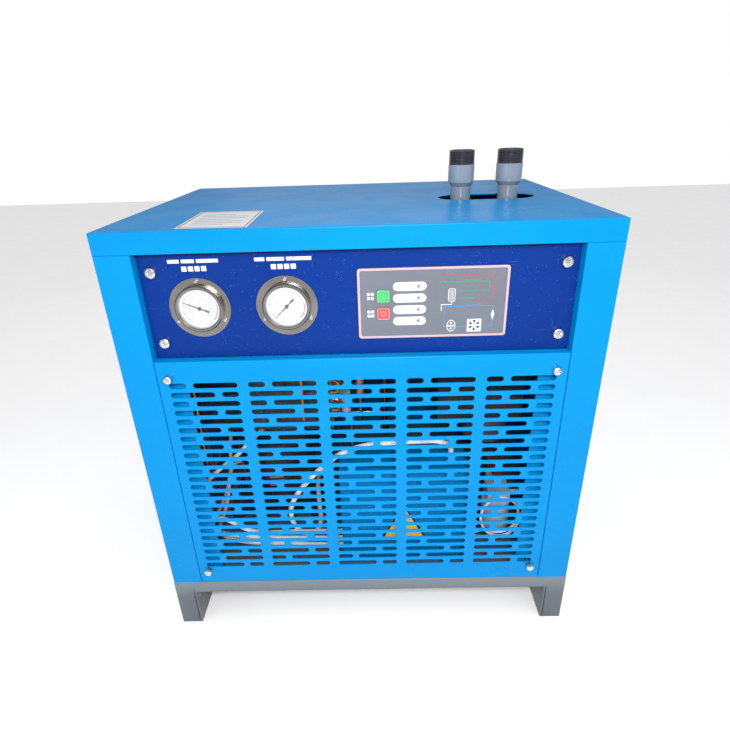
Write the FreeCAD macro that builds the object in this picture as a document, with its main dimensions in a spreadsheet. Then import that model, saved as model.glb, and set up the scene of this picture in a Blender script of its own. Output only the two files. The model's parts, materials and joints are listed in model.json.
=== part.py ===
"""Refrigerated compressed-air dryer: a sheet-steel cabinet on two skids.

Frame: millimetres, +X to the right seen from the front, front faces towards -Y, +Z up.
The origin is on the floor, midway between the four anchor holes in the skids.
"""
import FreeCAD, Part
import Sketcher
import math
import os
import re

V = FreeCAD.Vector
Turn = FreeCAD.Rotation

# ---------------------------------------------------------------- driving dimensions

SIZES = {
    # cabinet and base
    "cabinet_width": 700,
    "cabinet_depth": 500,
    "cabinet_top": 720,
    "skid_height": 100,
    "skid_width": 36,
    "base_sheet": 3,
    "beam_height": 25,
    "beam_flange": 35,
    "anchor_radius": 6,
    "anchor_spacing_x": 664,
    "anchor_spacing_y": 400,
    "sheet": 1.5,
    "cover_lip": 30,
    "seam": 0.5,
    "strip_width": 50,
    "recess": 16.5,
    "mounting_flange": 38,
    "rear_lip": 25,
    "bend_radius": 2,
    "pan_lip": 15,
    "drain_hole_radius": 11,
    "fold_gap": 1.2,
    "rear_screw_inset": 14,
    "rear_screw_radius": 2,
    "gland_x": 250,
    "gland_z": 180,
    "gland_thread_radius": 8,
    "exhaust_rows": 12,
    "exhaust_columns": 3,
    "exhaust_row_pitch": 20,
    "exhaust_column_pitch": 84,
    "exhaust_width": 72,
    "exhaust_height": 9,
    # grille
    "grille_top": 534,
    "grille_return": 15,
    "slot_column_pitch": 116.5,
    "slot_column_width": 101,
    "slot_row_pitch": 15.37,
    "slot_height": 9,
    "slot_short": 25,
    "slot_long": 66,
    "slot_first_row": 495,
    "slot_row_pairs": 12,
    "slot_columns": 5,
    # front screws
    "screw_x": 281,
    "screw_radius": 3,
    "screw_hole_radius": 3.4,
    "panel_head_radius": 8.2,
    "panel_head_height": 9,
    "grille_head_radius": 6.6,
    "grille_head_height": 11,
    "recess_depth": 2.5,
    "grille_screw_top": 509,
    "grille_screw_bottom": 131,
    "panel_screw_top": 663,
    "panel_screw_bottom": 560,
    # control panel
    "panel_thickness": 2,
    "panel_front": 235.5,
    "panel_top": 700,
    # gauges
    "gauge_z": 610.5,
    "refrigerant_gauge_x": -222.5,
    "air_gauge_x": -100.5,
    "gauge_flange_radius": 43,
    "gauge_ring_radius": 33.5,
    "gauge_window_radius": 28.75,
    "gauge_case_radius": 31,
    "gauge_screw_circle": 37.8,
    "gauge_screw_radius": 1.5,
    "refrigerant_needle_angle": 67.5,
    "needle_length": 24.5,
    "needle_tail": 14,
    # controller
    "face_left": -1.5,
    "face_right": 206.5,
    "face_bottom": 558.5,
    "face_top": 660.5,
    "face_thickness": 2,
    "key_x": 34,
    "start_key_z": 621,
    "stop_key_z": 595.5,
    "key_size": 17.2,
    "key_clearance": 0.3,
    "lamp_x": 82.5,
    "lamp_top_z": 634,
    "lamp_pitch": 16.7,
    "lamp_radius": 2.5,
    # air pipes
    "inlet_x": 171,
    "outlet_x": 250,
    "pipe_y": -10,
    "lower_pipe_radius": 16.85,
    "upper_pipe_radius": 21.2,
    "thread_radius": 20.95,
    "pipe_wall": 3.25,
    "flare_start": 738,
    "flare_end": 745,
    "thread_start": 772,
    "pipe_top": 794,
    "pipe_hole_x": 214,
    "pipe_hole_length": 160,
    "pipe_hole_width": 70,
    # heat exchanger, separator and drain
    "jacket_left": 134,
    "jacket_right": 290,
    "jacket_front": -90,
    "jacket_back": 70,
    "jacket_bottom": 330,
    "jacket_top": 640,
    "jacket_thickness": 14,
    "separator_radius": 45,
    "separator_bottom": 238,
    "drain_x": 240,
    "drain_z": 212,
    "auto_drain_y": -150,
    "auto_drain_radius": 26,
    "lever_length": 62,
    # electrical box
    "box_left": -45,
    "box_right": 173,
    "box_front": -208,
    "box_back": -151,
    "box_top": 308,
    "box_sheet": 1.2,
    # compressor
    "compressor_x": -188,
    "compressor_y": -10,
    "compressor_radius": 78,
    "compressor_wall": 3.5,
    "compressor_foot_height": 18,
    "compressor_top": 291.5,
    "compressor_foot_x": 82,
    "compressor_foot_y": 62,
    # condenser and fan
    "coil_left": -330,
    "coil_right": -30,
    "coil_front": -98,
    "coil_back": -54,
    "coil_bottom": 322,
    "coil_top": 640,
    "bend_reach": 14,
    "tube_radius": 4,
    "tube_pitch": 25,
    "fan_x": -180,
    "fan_z": 481,
    "fan_radius": 124,
    "fan_hole_radius": 130,
    "hub_radius": 30,
    "motor_radius": 42,
    "motor_front": 14,
    "motor_back": 92,
    "fan_shaft_radius": 4,
    "fan_middle_y": -4,
    "blade_width": 58,
    "blade_pitch": 28,
    "blade_count": 5,
}

FLOOR = "skid_height + sheet"           # upper face of the base pan
SIDE = "cabinet_width / 2"
FRONT = "-cabinet_depth / 2"
BACK = "cabinet_depth / 2"
PANEL_TOP = "cabinet_top - cover_lip - seam"
INNER_SIDE = "cabinet_width / 2 - strip_width"
REAR_SCREW_HEIGHTS = ("140", "395", "650")
REAR_HOLE = "rear_screw_radius + 0.2"

doc = FreeCAD.newDocument("AirDryer")
sheet = doc.addObject("Spreadsheet::Sheet", "Sizes")
for row, (alias, value) in enumerate(SIZES.items(), start=1):
    sheet.set(f"A{row}", alias)
    sheet.set(f"B{row}", str(value))
    sheet.setAlias(f"B{row}", alias)
doc.recompute()

SUBPARTS = {}

# ---------------------------------------------------------------- building blocks

TURNS = {
    "+z": Turn(),
    "-z": Turn(V(1, 0, 0), 180),
    "+x": Turn(V(0, 1, 0), 90),
    "-x": Turn(V(0, 1, 0), -90),
    "+y": Turn(V(1, 0, 0), -90),
    "-y": Turn(V(1, 0, 0), 90),
}


def cells(text):
    """Turn every word of a size expression into a cell of the sheet."""
    return re.sub(r"[a-z][a-z_0-9]*", lambda word: "Sizes." + word.group(), text)


def amount(text):
    """Value of a size expression in millimetres."""
    return float(sheet.evalExpression(cells(text)))


def bind(item, name, text):
    item.setExpression(name, cells(text))


def place(item, x="0", y="0", z="0", turn=Turn()):
    """Put an item at a point given by three size expressions."""
    item.Placement = FreeCAD.Placement(V(amount(x), amount(y), amount(z)), turn)
    for name, text in (("x", x), ("y", y), ("z", z)):
        bind(item, "Placement.Base." + name, text)
    return item


def block(name, low, high):
    """Box between two corners, each three size expressions."""
    item = doc.addObject("Part::Box", name)
    for side, start, end in zip(("Length", "Width", "Height"), low, high):
        bind(item, side, f"({end}) - ({start})")
    return place(item, *low)


def rod(name, radius, length, start, axis="+z"):
    """Cylinder from a start point along a row axis."""
    item = doc.addObject("Part::Cylinder", name)
    bind(item, "Radius", radius)
    bind(item, "Height", length)
    return place(item, *start, turn=TURNS[axis])


def group(name, items):
    item = doc.addObject("Part::Compound", name)
    item.Links = items
    return item


def fuse(name, items):
    item = doc.addObject("Part::MultiFuse", name)
    item.Shapes = items
    item.Refine = True
    return item


def cut(name, base, tools):
    """Base with the tools taken out of it; every cut must remove material."""
    tool = tools[0]
    if len(tools) > 1:
        tool = fuse(name + "_tools", tools)
    item = doc.addObject("Part::Cut", name)
    item.Base = base
    item.Tool = tool
    item.Refine = True
    doc.recompute()
    if item.Shape.Volume >= base.Shape.Volume - 0.01:
        raise ValueError(name + ": the cut removes nothing")
    return item


def keep(item, label):
    """Register an object as one of the dryer's sub-parts."""
    item.Label = label
    SUBPARTS[label] = item
    return item


def new_body(name):
    return doc.addObject("PartDesign::Body", name + "_body")


def sketch_on(body, role, name, lift="0"):
    """Sketch on one of the body's own origin planes, lifted along its normal."""
    sketch = body.newObject("Sketcher::SketchObject", name)
    plane = next(item for item in body.Origin.OriginFeatures if item.Role == role)
    sketch.AttachmentSupport = (plane, [""])
    sketch.MapMode = "FlatFace"
    bind(sketch, "AttachmentOffset.Base.z", lift)
    return sketch


def hold(sketch, kind, edge, point, text):
    """Dimension from the sketch's origin to a point of an edge."""
    number = sketch.addConstraint(Sketcher.Constraint(kind, -1, 1, edge, point, amount(text)))
    bind(sketch, f"Constraints[{number}]", text)


def outline(sketch, corners):
    """Closed polygon whose corners are size expressions."""
    points = [V(amount(x), amount(y), 0) for x, y in corners]
    first = sketch.GeometryCount
    for start, end in zip(points, points[1:] + points[:1]):
        sketch.addGeometry(Part.LineSegment(start, end))
    for index, (x, y) in enumerate(corners):
        edge = first + index
        following = first + (index + 1) % len(corners)
        sketch.addConstraint(Sketcher.Constraint("Coincident", edge, 2, following, 1))
        hold(sketch, "DistanceX", edge, 1, x)
        hold(sketch, "DistanceY", edge, 1, y)


def rectangle(sketch, left, low, right, high):
    outline(sketch, [(left, low), (right, low), (right, high), (left, high)])


def circle(sketch, x, y, radius):
    ring = Part.Circle(V(amount(x), amount(y), 0), V(0, 0, 1), amount(radius))
    edge = sketch.addGeometry(ring)
    hold(sketch, "DistanceX", edge, 3, x)
    hold(sketch, "DistanceY", edge, 3, y)
    number = sketch.addConstraint(Sketcher.Constraint("Radius", edge, amount(radius)))
    bind(sketch, f"Constraints[{number}]", radius)


def stadium(sketch, x, y, length, height):
    """Level slot with full round ends, centred on x, y."""
    half = f"(({length}) - ({height})) / 2"
    ends = (f"({x}) - {half}", f"({x}) + {half}")
    radius = amount(height) / 2
    left, right, level = amount(ends[0]), amount(ends[1]), amount(y)
    quarter = math.pi / 2
    round_left = Part.ArcOfCircle(Part.Circle(V(left, level, 0), V(0, 0, 1), radius), quarter, 3 * quarter)
    round_right = Part.ArcOfCircle(Part.Circle(V(right, level, 0), V(0, 0, 1), radius), -quarter, quarter)
    first = sketch.addGeometry(round_left)
    sketch.addGeometry(Part.LineSegment(V(left, level - radius, 0), V(right, level - radius, 0)))
    sketch.addGeometry(round_right)
    sketch.addGeometry(Part.LineSegment(V(right, level + radius, 0), V(left, level + radius, 0)))
    joints = ((first, 2, first + 1, 1), (first + 1, 2, first + 2, 1),
              (first + 2, 2, first + 3, 1), (first + 3, 2, first, 1))
    for joint in joints:
        sketch.addConstraint(Sketcher.Constraint("Tangent", *joint))
    for edge, end in ((first, ends[0]), (first + 2, ends[1])):
        hold(sketch, "DistanceX", edge, 3, end)
        hold(sketch, "DistanceY", edge, 3, y)
    number = sketch.addConstraint(Sketcher.Constraint("Radius", first, radius))
    bind(sketch, f"Constraints[{number}]", f"({height}) / 2")


def pad(body, sketch, length, reverse=False):
    item = body.newObject("PartDesign::Pad", sketch.Name + "_pad")
    item.Profile = sketch
    bind(item, "Length", length)
    item.Reversed = reverse
    doc.recompute()
    return item


def pocket(body, sketch, length, reverse=False):
    before = body.Shape.Volume
    item = body.newObject("PartDesign::Pocket", sketch.Name + "_pocket")
    item.Profile = sketch
    bind(item, "Length", length)
    item.Reversed = reverse
    doc.recompute()
    if item.Shape.Volume >= before - 0.01:
        raise ValueError(sketch.Name + ": the pocket removes nothing")
    return item


def round_edges(body, radius, chosen):
    """Fillet the edges of the body's tip that pass the test."""
    tip = body.Tip
    names = [f"Edge{index}" for index, edge in enumerate(tip.Shape.Edges, start=1) if chosen(edge)]
    item = body.newObject("PartDesign::Fillet", body.Name + "_bends")
    item.Base = (tip, names)
    bind(item, "Radius", radius)
    doc.recompute()
    return item


def along(edge, axis):
    """True for a straight edge parallel to a unit vector."""
    if not isinstance(edge.Curve, (Part.Line, Part.LineSegment)):
        return False
    return abs(abs(edge.tangentAt(edge.FirstParameter).dot(axis)) - 1) < 1e-6


def near(edge, **values):
    """True when the middle of the edge has the given coordinates."""
    middle = edge.BoundBox.Center
    return all(abs(getattr(middle, name) - value) < 0.05 for name, value in values.items())


def turned(name, profile, x="0", y="0", z="0", axis="+z"):
    """Body turned from a closed half profile of (radius, height) pairs."""
    body = new_body(name)
    sketch = sketch_on(body, "XZ_Plane", name + "_profile")
    outline(sketch, profile)
    spin = body.newObject("PartDesign::Revolution", name + "_spin")
    spin.Profile = sketch
    spin.ReferenceAxis = (sketch, ["V_Axis"])
    spin.Angle = 360
    place(body, x, y, z, TURNS[axis])
    doc.recompute()
    return body


def routed(label, runs, radius, bend=None):
    """Round tube through the points of each run, with tangent arcs at the corners.

    Copper is bent to one radius; a cable, with no radius given, bends as widely as its runs allow.
    """
    solids = []
    for points in runs:
        corners = [V(*(amount(text) for text in point)) for point in points]
        edges = []
        start = corners[0]
        for before, corner, after in zip(corners, corners[1:], corners[2:]):
            shorter = min((before - corner).Length, (after - corner).Length)
            back = (before - corner).normalize()
            ahead = (after - corner).normalize()
            half = math.acos(max(-1, min(1, back.dot(ahead)))) / 2
            turn_radius = bend or 0.45 * shorter * math.tan(half)
            reach = turn_radius / math.tan(half)
            middle = (back + ahead).normalize() * (turn_radius / math.sin(half) - turn_radius)
            edges.append(Part.LineSegment(start, corner + back * reach).toShape())
            arc = Part.Arc(corner + back * reach, corner + middle, corner + ahead * reach)
            edges.append(arc.toShape())
            start = corner + ahead * reach
        edges.append(Part.LineSegment(start, corners[-1]).toShape())
        path = Part.Wire(edges)
        section = Part.Wire([Part.makeCircle(radius, corners[0], corners[1] - corners[0])])
        tube = path.makePipeShell([section], True, False)
        expected = math.pi * radius ** 2 * path.Length
        if abs(tube.Volume - expected) > 0.02 * expected:
            raise ValueError(label + ": the tube has the wrong volume")
        solids.append(tube)
    item = doc.addObject("Part::Feature", label + "_route")
    item.Shape = solids[0] if len(solids) == 1 else Part.makeCompound(solids)
    return keep(item, label)


# ---------------------------------------------------------------- base frame

def centre_x(left, right):
    return (amount(left) + amount(right)) / 2


def make_skid(label, left, right):
    """Closed folded-steel skid with two anchor holes and an open fold beside its front plate."""
    shell = block(label + "_shell", (left, FRONT, "0"), (right, BACK, "skid_height"))
    inside = block(label + "_inside",
                   (f"{left} + base_sheet", f"{FRONT} + base_sheet", "base_sheet"),
                   (f"{right} - base_sheet", f"{BACK} - base_sheet", "skid_height - base_sheet"))
    centre = f"({left} + ({right})) / 2"
    holes = []
    for index, side in enumerate(("-", "")):
        start = (centre, f"{side}anchor_spacing_y / 2", "-base_sheet")
        holes.append(rod(f"{label}_anchor{index}", "anchor_radius", "3 * base_sheet", start))
    fold = f"({right}) - base_sheet - fold_gap" if centre_x(left, right) < 0 else f"{left} + base_sheet"
    gap = block(label + "_fold", (fold, f"{FRONT} - base_sheet", "2 * base_sheet"),
                (f"{fold} + fold_gap", f"{FRONT} + 2 * base_sheet", "skid_height - beam_height"))
    keep(cut(label + "_steel", shell, [inside, gap] + holes), label)


def make_beam(label, outer, inward):
    """Channel between the skids, web outwards, flanges pointing into the base."""
    body = new_body(label)
    web = f"{outer} {inward} base_sheet"
    tip = f"{outer} {inward} beam_flange"
    top = "skid_height"
    low = "skid_height - beam_height"
    sketch = sketch_on(body, "YZ_Plane", label + "_section", "-(cabinet_width / 2 - skid_width)")
    outline(sketch, [(outer, low), (tip, low), (tip, f"{low} + base_sheet"), (web, f"{low} + base_sheet"),
                     (web, f"{top} - base_sheet"), (tip, f"{top} - base_sheet"), (tip, top), (outer, top)])
    pad(body, sketch, "cabinet_width - 2 * skid_width")
    face = amount(outer)
    round_edges(body, "bend_radius", lambda edge: along(edge, V(1, 0, 0)) and near(edge, y=face))
    keep(body, label)


def make_base_pan():
    """Floor tray with upturned lips and a hole over the drain."""
    outer = block("pan_outer", (f"-({SIDE}) + 2 * sheet", f"{FRONT} + recess + 2 * sheet", "skid_height"),
                  (f"{SIDE} - 2 * sheet", f"{BACK} - 3 * sheet", "skid_height + pan_lip"))
    inner = block("pan_inner", (f"-({SIDE}) + 3 * sheet", f"{FRONT} + recess + 3 * sheet", FLOOR),
                  (f"{SIDE} - 3 * sheet", f"{BACK} - 4 * sheet", "skid_height + 2 * pan_lip"))
    hole = rod("pan_drain_hole", "drain_hole_radius", "4 * sheet",
               ("drain_x", "auto_drain_y", "skid_height - sheet"))
    keep(cut("pan", outer, [inner, hole]), "base_pan")


# ---------------------------------------------------------------- cabinet

def make_side_panel(label, hand):
    """Side wall folded round to the front strip, its return and the mounting flange."""
    body = new_body(label)
    sketch = sketch_on(body, "XY_Plane", label + "_section", "skid_height")
    flange_front = f"{FRONT} + recess"
    flange_back = f"{FRONT} + recess + sheet"
    section = [
        (f"{SIDE} - rear_lip", f"{BACK} - sheet"),
        (SIDE, f"{BACK} - sheet"),
        (SIDE, FRONT),
        (INNER_SIDE, FRONT),
        (INNER_SIDE, flange_front),
        (f"{INNER_SIDE} - mounting_flange", flange_front),
        (f"{INNER_SIDE} - mounting_flange", flange_back),
        (f"{INNER_SIDE} + sheet", flange_back),
        (f"{INNER_SIDE} + sheet", f"{FRONT} + sheet"),
        (f"{SIDE} - sheet", f"{FRONT} + sheet"),
        (f"{SIDE} - sheet", f"{BACK} - 2 * sheet"),
        (f"{SIDE} - rear_lip", f"{BACK} - 2 * sheet"),
    ]
    outline(sketch, [(f"{hand}({x})", y) for x, y in section])
    pad(body, sketch, f"{PANEL_TOP} - skid_height")
    sign = -1 if hand == "-" else 1
    bends = [(sign * amount(SIDE), amount(FRONT)), (sign * amount(INNER_SIDE), amount(FRONT)),
             (sign * amount(SIDE), amount(f"{BACK} - sheet"))]
    round_edges(body, "bend_radius", lambda edge: along(edge, V(0, 0, 1))
                and any(near(edge, x=x, y=y) for x, y in bends))
    holes = sketch_on(body, "XZ_Plane", label + "_holes", "cabinet_depth / 2")
    for height in ("grille_screw_top", "grille_screw_bottom", "panel_screw_top", "panel_screw_bottom"):
        circle(holes, f"{hand}screw_x", height, "screw_hole_radius")
    pocket(body, holes, "recess + 3 * sheet")
    rear_holes = sketch_on(body, "XZ_Plane", label + "_rear_holes", "4 * sheet - cabinet_depth / 2")
    for height in REAR_SCREW_HEIGHTS:
        circle(rear_holes, f"{hand}({SIDE} - rear_screw_inset)", height, REAR_HOLE)
    pocket(body, rear_holes, "4 * sheet")
    keep(body, label)


def make_rear_panel():
    """Flat back sheet with a tongue behind the cover's lip, exhaust slots and a cable hole."""
    plate = block("rear_plate", (f"-({SIDE})", f"{BACK} - sheet", "skid_height"), (SIDE, BACK, PANEL_TOP))
    tongue = block("rear_tongue", (f"-({INNER_SIDE})", f"{BACK} - 2 * sheet", f"{PANEL_TOP} - 10"),
                   (INNER_SIDE, f"{BACK} - sheet", f"{PANEL_TOP} + 22"))
    openings = []
    for column in range(SIZES["exhaust_columns"]):
        for level in range(SIZES["exhaust_rows"]):
            left = f"fan_x + ({column} - exhaust_columns / 2) * exhaust_column_pitch"
            low = f"fan_z + (exhaust_rows / 2 - {level}) * exhaust_row_pitch"
            slot = block(f"exhaust_{column}_{level}", (left, f"{BACK} - 3 * sheet", low),
                         (f"{left} + exhaust_width", f"{BACK} + sheet", f"{low} + exhaust_height"))
            openings.append(slot)
    gland = ("gland_x", f"{BACK} - 4 * sheet", "gland_z")
    openings.append(rod("gland_hole", "gland_thread_radius + 0.2", "6 * sheet", gland, "+y"))
    for index, (x, z) in enumerate(rear_screw_places()):
        start = (x, f"{BACK} - 4 * sheet", z)
        openings.append(rod(f"rear_screw_hole{index}", REAR_HOLE, "6 * sheet", start, "+y"))
    keep(cut("rear_sheet", fuse("rear_blank", [plate, tongue]), openings), "rear_panel")


def rear_screw_places():
    """Centres of the rear panel's side screws and of the three through the cover's lip."""
    sides = []
    for hand in ("-", ""):
        for height in REAR_SCREW_HEIGHTS:
            sides.append((f"{hand}({SIDE} - rear_screw_inset)", height))
    return sides + [(x, "cabinet_top - cover_lip / 2") for x in ("-260", "0", "260")]


def make_top_cover():
    """Lid folded down on four sides, with one oblong hole for both air pipes."""
    outer = block("cover_outer", (f"-({SIDE})", FRONT, "cabinet_top - cover_lip"),
                  (SIDE, BACK, "cabinet_top"))
    rounded = doc.addObject("Part::Fillet", "cover_rounded")
    rounded.Base = outer
    doc.recompute()
    edges = []
    top = amount("cabinet_top")
    for index, edge in enumerate(outer.Shape.Edges, start=1):
        upright = along(edge, V(0, 0, 1))
        if upright or abs(edge.BoundBox.Center.z - top) < 0.01:
            edges.append((index, amount("bend_radius"), amount("bend_radius")))
    rounded.Edges = edges
    outer.Visibility = False
    inner = block("cover_inner", (f"-({SIDE}) + sheet", f"{FRONT} + sheet", "cabinet_top - 2 * cover_lip"),
                  (f"{SIDE} - sheet", f"{BACK} - sheet", "cabinet_top - sheet"))
    hole_low = ("pipe_hole_x - (pipe_hole_length - pipe_hole_width) / 2",
                "pipe_y - pipe_hole_width / 2", "cabinet_top - 5 * sheet")
    hole_high = ("pipe_hole_x + (pipe_hole_length - pipe_hole_width) / 2",
                 "pipe_y + pipe_hole_width / 2", "cabinet_top + 5 * sheet")
    openings = [inner, block("pipe_hole_middle", hole_low, hole_high)]
    for index, x in enumerate((hole_low[0], hole_high[0])):
        start = (x, "pipe_y", "cabinet_top - 5 * sheet")
        openings.append(rod(f"pipe_hole_end{index}", "pipe_hole_width / 2", "10 * sheet", start))
    for index, (x, z) in enumerate(rear_screw_places()[6:]):
        start = (x, f"{BACK} - 4 * sheet", z)
        openings.append(rod(f"cover_screw_hole{index}", REAR_HOLE, "6 * sheet", start, "+y"))
    keep(cut("cover_sheet", rounded, openings), "top_cover")


def make_control_panel():
    """Flat panel for the gauges and the controller, screwed to the side panels' flanges."""
    body = new_body("control_panel")
    plate = sketch_on(body, "XZ_Plane", "control_plate", "panel_front - panel_thickness")
    edge = f"{INNER_SIDE} - 2 * seam"
    rectangle(plate, f"-({edge})", "grille_top + seam", edge, "panel_top")
    pad(body, plate, "panel_thickness")
    holes = sketch_on(body, "XZ_Plane", "control_holes", "panel_front")
    for side in ("-", ""):
        for height in ("panel_screw_top", "panel_screw_bottom"):
            circle(holes, f"{side}screw_x", height, "screw_hole_radius")
    for x in ("refrigerant_gauge_x", "air_gauge_x"):
        circle(holes, x, "gauge_z", "gauge_case_radius + 0.5")
        for index in range(3):
            lean = math.radians(90 + 120 * index)
            across = f"{x} + gauge_screw_circle * {math.cos(lean):.6f}"
            up = f"gauge_z + gauge_screw_circle * {math.sin(lean):.6f}"
            circle(holes, across, up, "gauge_screw_radius + 0.2")
    rectangle(holes, "face_left + 5", "face_bottom + 5", "face_right - 5", "face_top - 5")
    pocket(body, holes, "2 * panel_thickness")
    keep(body, "control_panel")


def make_front_grille():
    """Shallow tray whose face is punched with five columns of staggered slots."""
    body = new_body("front_grille")
    edge = f"{INNER_SIDE} - seam"
    low = "skid_height + seam"
    face = sketch_on(body, "XZ_Plane", "grille_face", "cabinet_depth / 2 - grille_return")
    rectangle(face, f"-({edge})", low, edge, "grille_top")
    pad(body, face, "grille_return")
    front = amount(FRONT)
    round_edges(body, "bend_radius", lambda line: abs(line.BoundBox.Center.y - front) < 0.01)
    hollow = sketch_on(body, "XZ_Plane", "grille_hollow", "cabinet_depth / 2 - grille_return")
    rectangle(hollow, f"-({edge} - sheet)", f"{low} + sheet", f"{edge} - sheet", "grille_top - sheet")
    pocket(body, hollow, "grille_return - sheet", reverse=True)
    holes = sketch_on(body, "XZ_Plane", "grille_screw_holes", "cabinet_depth / 2")
    for side in ("-", ""):
        for height in ("grille_screw_top", "grille_screw_bottom"):
            circle(holes, f"{side}screw_x", height, "screw_hole_radius")
    pocket(body, holes, "3 * sheet")
    slots = sketch_on(body, "XZ_Plane", "grille_slots", "cabinet_depth / 2")
    left = "-2 * slot_column_pitch - slot_column_width / 2"
    right = "-2 * slot_column_pitch + slot_column_width / 2"
    second = "slot_first_row - slot_row_pitch"
    stadium(slots, f"{left} + slot_short / 2", "slot_first_row", "slot_short", "slot_height")
    stadium(slots, f"{right} - slot_long / 2", "slot_first_row", "slot_long", "slot_height")
    stadium(slots, f"{left} + slot_long / 2", second, "slot_long", "slot_height")
    stadium(slots, f"{right} - slot_short / 2", second, "slot_short", "slot_height")
    first = pocket(body, slots, "3 * sheet")
    pattern = body.newObject("PartDesign::LinearPattern", "grille_pattern")
    pattern.Originals = [first]
    pattern.Mode = "Spacing"
    pattern.Mode2 = "Spacing"
    pattern.Direction = (slots, ["H_Axis"])
    pattern.Direction2 = (slots, ["V_Axis"])
    pattern.Reversed2 = True
    bind(pattern, "Offset", "slot_column_pitch")
    bind(pattern, "Offset2", "2 * slot_row_pitch")
    bind(pattern, "Occurrences", "slot_columns")
    bind(pattern, "Occurrences2", "slot_row_pairs")
    pattern.Spacings2 = [-1.0] * (SIZES["slot_row_pairs"] - 1)
    body.Tip = pattern
    doc.recompute()
    keep(body, "front_grille")


def make_front_screws(label, seat, shank, heights, radius, height):
    """Four tall domed stainless screws with a cross recess, heads towards the front."""
    arm = "3.2"
    half = "0.9"
    cross = [(half, half), (arm, half), (arm, f"-{half}"), (half, f"-{half}"), (half, f"-{arm}"),
             (f"-{half}", f"-{arm}"), (f"-{half}", f"-{half}"), (f"-{arm}", f"-{half}"), (f"-{arm}", half),
             (f"-{half}", half), (f"-{half}", arm), (half, arm)]
    profile = [("0", f"-({shank})"), ("screw_radius", f"-({shank})"), ("screw_radius", "0"), (radius, "0"),
               (radius, f"{height} - 3.2"), (f"{radius} - 0.8", f"{height} - 1.4"),
               (f"{radius} - 2.4", f"{height} - 0.3"), (f"{radius} - 3.6", height), ("0", height)]
    screws = []
    for side in ("-", ""):
        for level in heights:
            name = f"{label}_{len(screws)}"
            screw = turned(name, profile, f"{side}screw_x", seat, level, "-y")
            recess = sketch_on(screw, "XY_Plane", name + "_recess", height)
            outline(recess, cross)
            pocket(screw, recess, "recess_depth")
            screws.append(screw)
    keep(group(label + "_set", screws), label)


def make_rear_screws():
    """Pan-head screws of the rear panel and of the cover's rear lip."""
    screws = []
    for index, (x, z) in enumerate(rear_screw_places()):
        shank = "rear_screw_radius"
        profile = [("0", "-8"), (shank, "-8"), (shank, "0"), (f"{shank} + 2.5", "0"),
                   (f"{shank} + 2.5", "1.2"), (f"{shank} + 1.2", "2.6"), ("0", "2.6")]
        screws.append(turned(f"rear_screw_{index}", profile, x, BACK, z, "+y"))
    keep(group("rear_screw_set", screws), "rear_screws")


# ---------------------------------------------------------------- gauges

def make_gauge(stem, x, needle_angle):
    """Panel gauge: case behind the panel, flanged bezel, dial, needle and glass in front."""
    where = {"x": x, "y": "-panel_front", "z": "gauge_z", "axis": "-y"}
    case = [("0", "-34"), ("gauge_case_radius", "-34"), ("gauge_case_radius", "0"),
            ("gauge_case_radius - 1.5", "0"), ("gauge_case_radius - 1.5", "-32"), ("0", "-32")]
    cup = turned(stem + "_cup", case, **where)
    stub = rod(stem + "_stub", "6.5", "20", (x, "-panel_front + 34", "gauge_z - 14"), "+y")
    keep(fuse(stem + "_housing", [cup, stub]), stem + "_case")

    window = "gauge_window_radius"
    ring = "gauge_ring_radius"
    profile = [(window, "0"), ("gauge_flange_radius", "0"), ("gauge_flange_radius", "1.2"),
               (ring, "1.2"), (ring, "7.5"), (f"{ring} - 1.4", "9"),
               (f"{window} + 1", "9"), (window, "8.2")]
    bezel = turned(stem + "_ring", profile, **where)
    holes = sketch_on(bezel, "XY_Plane", stem + "_flange_holes", "4")
    for index in range(3):
        lean = math.radians(90 + 120 * index)
        circle(holes, f"gauge_screw_circle * {math.cos(lean):.6f}",
               f"gauge_screw_circle * {math.sin(lean):.6f}", "gauge_screw_radius + 0.1")
    pocket(bezel, holes, "8")
    keep(bezel, stem + "_bezel")

    face = [("1.2", "2.4"), (f"{window} - 0.15", "2.4"), (f"{window} - 0.15", "3.2"), ("1.2", "3.2")]
    keep(turned(stem + "_disc", face, **where), stem + "_dial")
    glass = [("0", "6.6"), (f"{window} - 0.1", "6.6"), (f"{window} - 0.1", "7.9"), ("0", "7.9")]
    keep(turned(stem + "_pane", glass, **where), stem + "_glass")

    needle = new_body(stem + "_needle")
    hand = sketch_on(needle, "XY_Plane", stem + "_hand", "4.2")
    tail = "needle_tail"
    outline(hand, [("-1.5", f"-{tail}"), ("1.5", f"-{tail}"), ("1.2", f"5 - {tail}"), ("0.6", f"7 - {tail}"),
                   ("0.8", "0"), ("0.25", "needle_length"), ("-0.25", "needle_length"), ("-0.8", "0"),
                   ("-0.6", f"7 - {tail}"), ("-1.2", f"5 - {tail}")])
    pad(needle, hand, "0.8")
    hub = sketch_on(needle, "XY_Plane", stem + "_hub", "4")
    circle(hub, "0", "0", "2.6")
    pad(needle, hub, "1.8")
    spindle = sketch_on(needle, "XY_Plane", stem + "_spindle", "0.5")
    circle(spindle, "0", "0", "0.8")
    pad(needle, spindle, "4")
    clockwise = Turn(V(0, 1, 0), -135 + needle_angle)
    place(needle, x, "-panel_front", "gauge_z", clockwise * TURNS["-y"])
    keep(needle, stem + "_needle")


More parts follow.
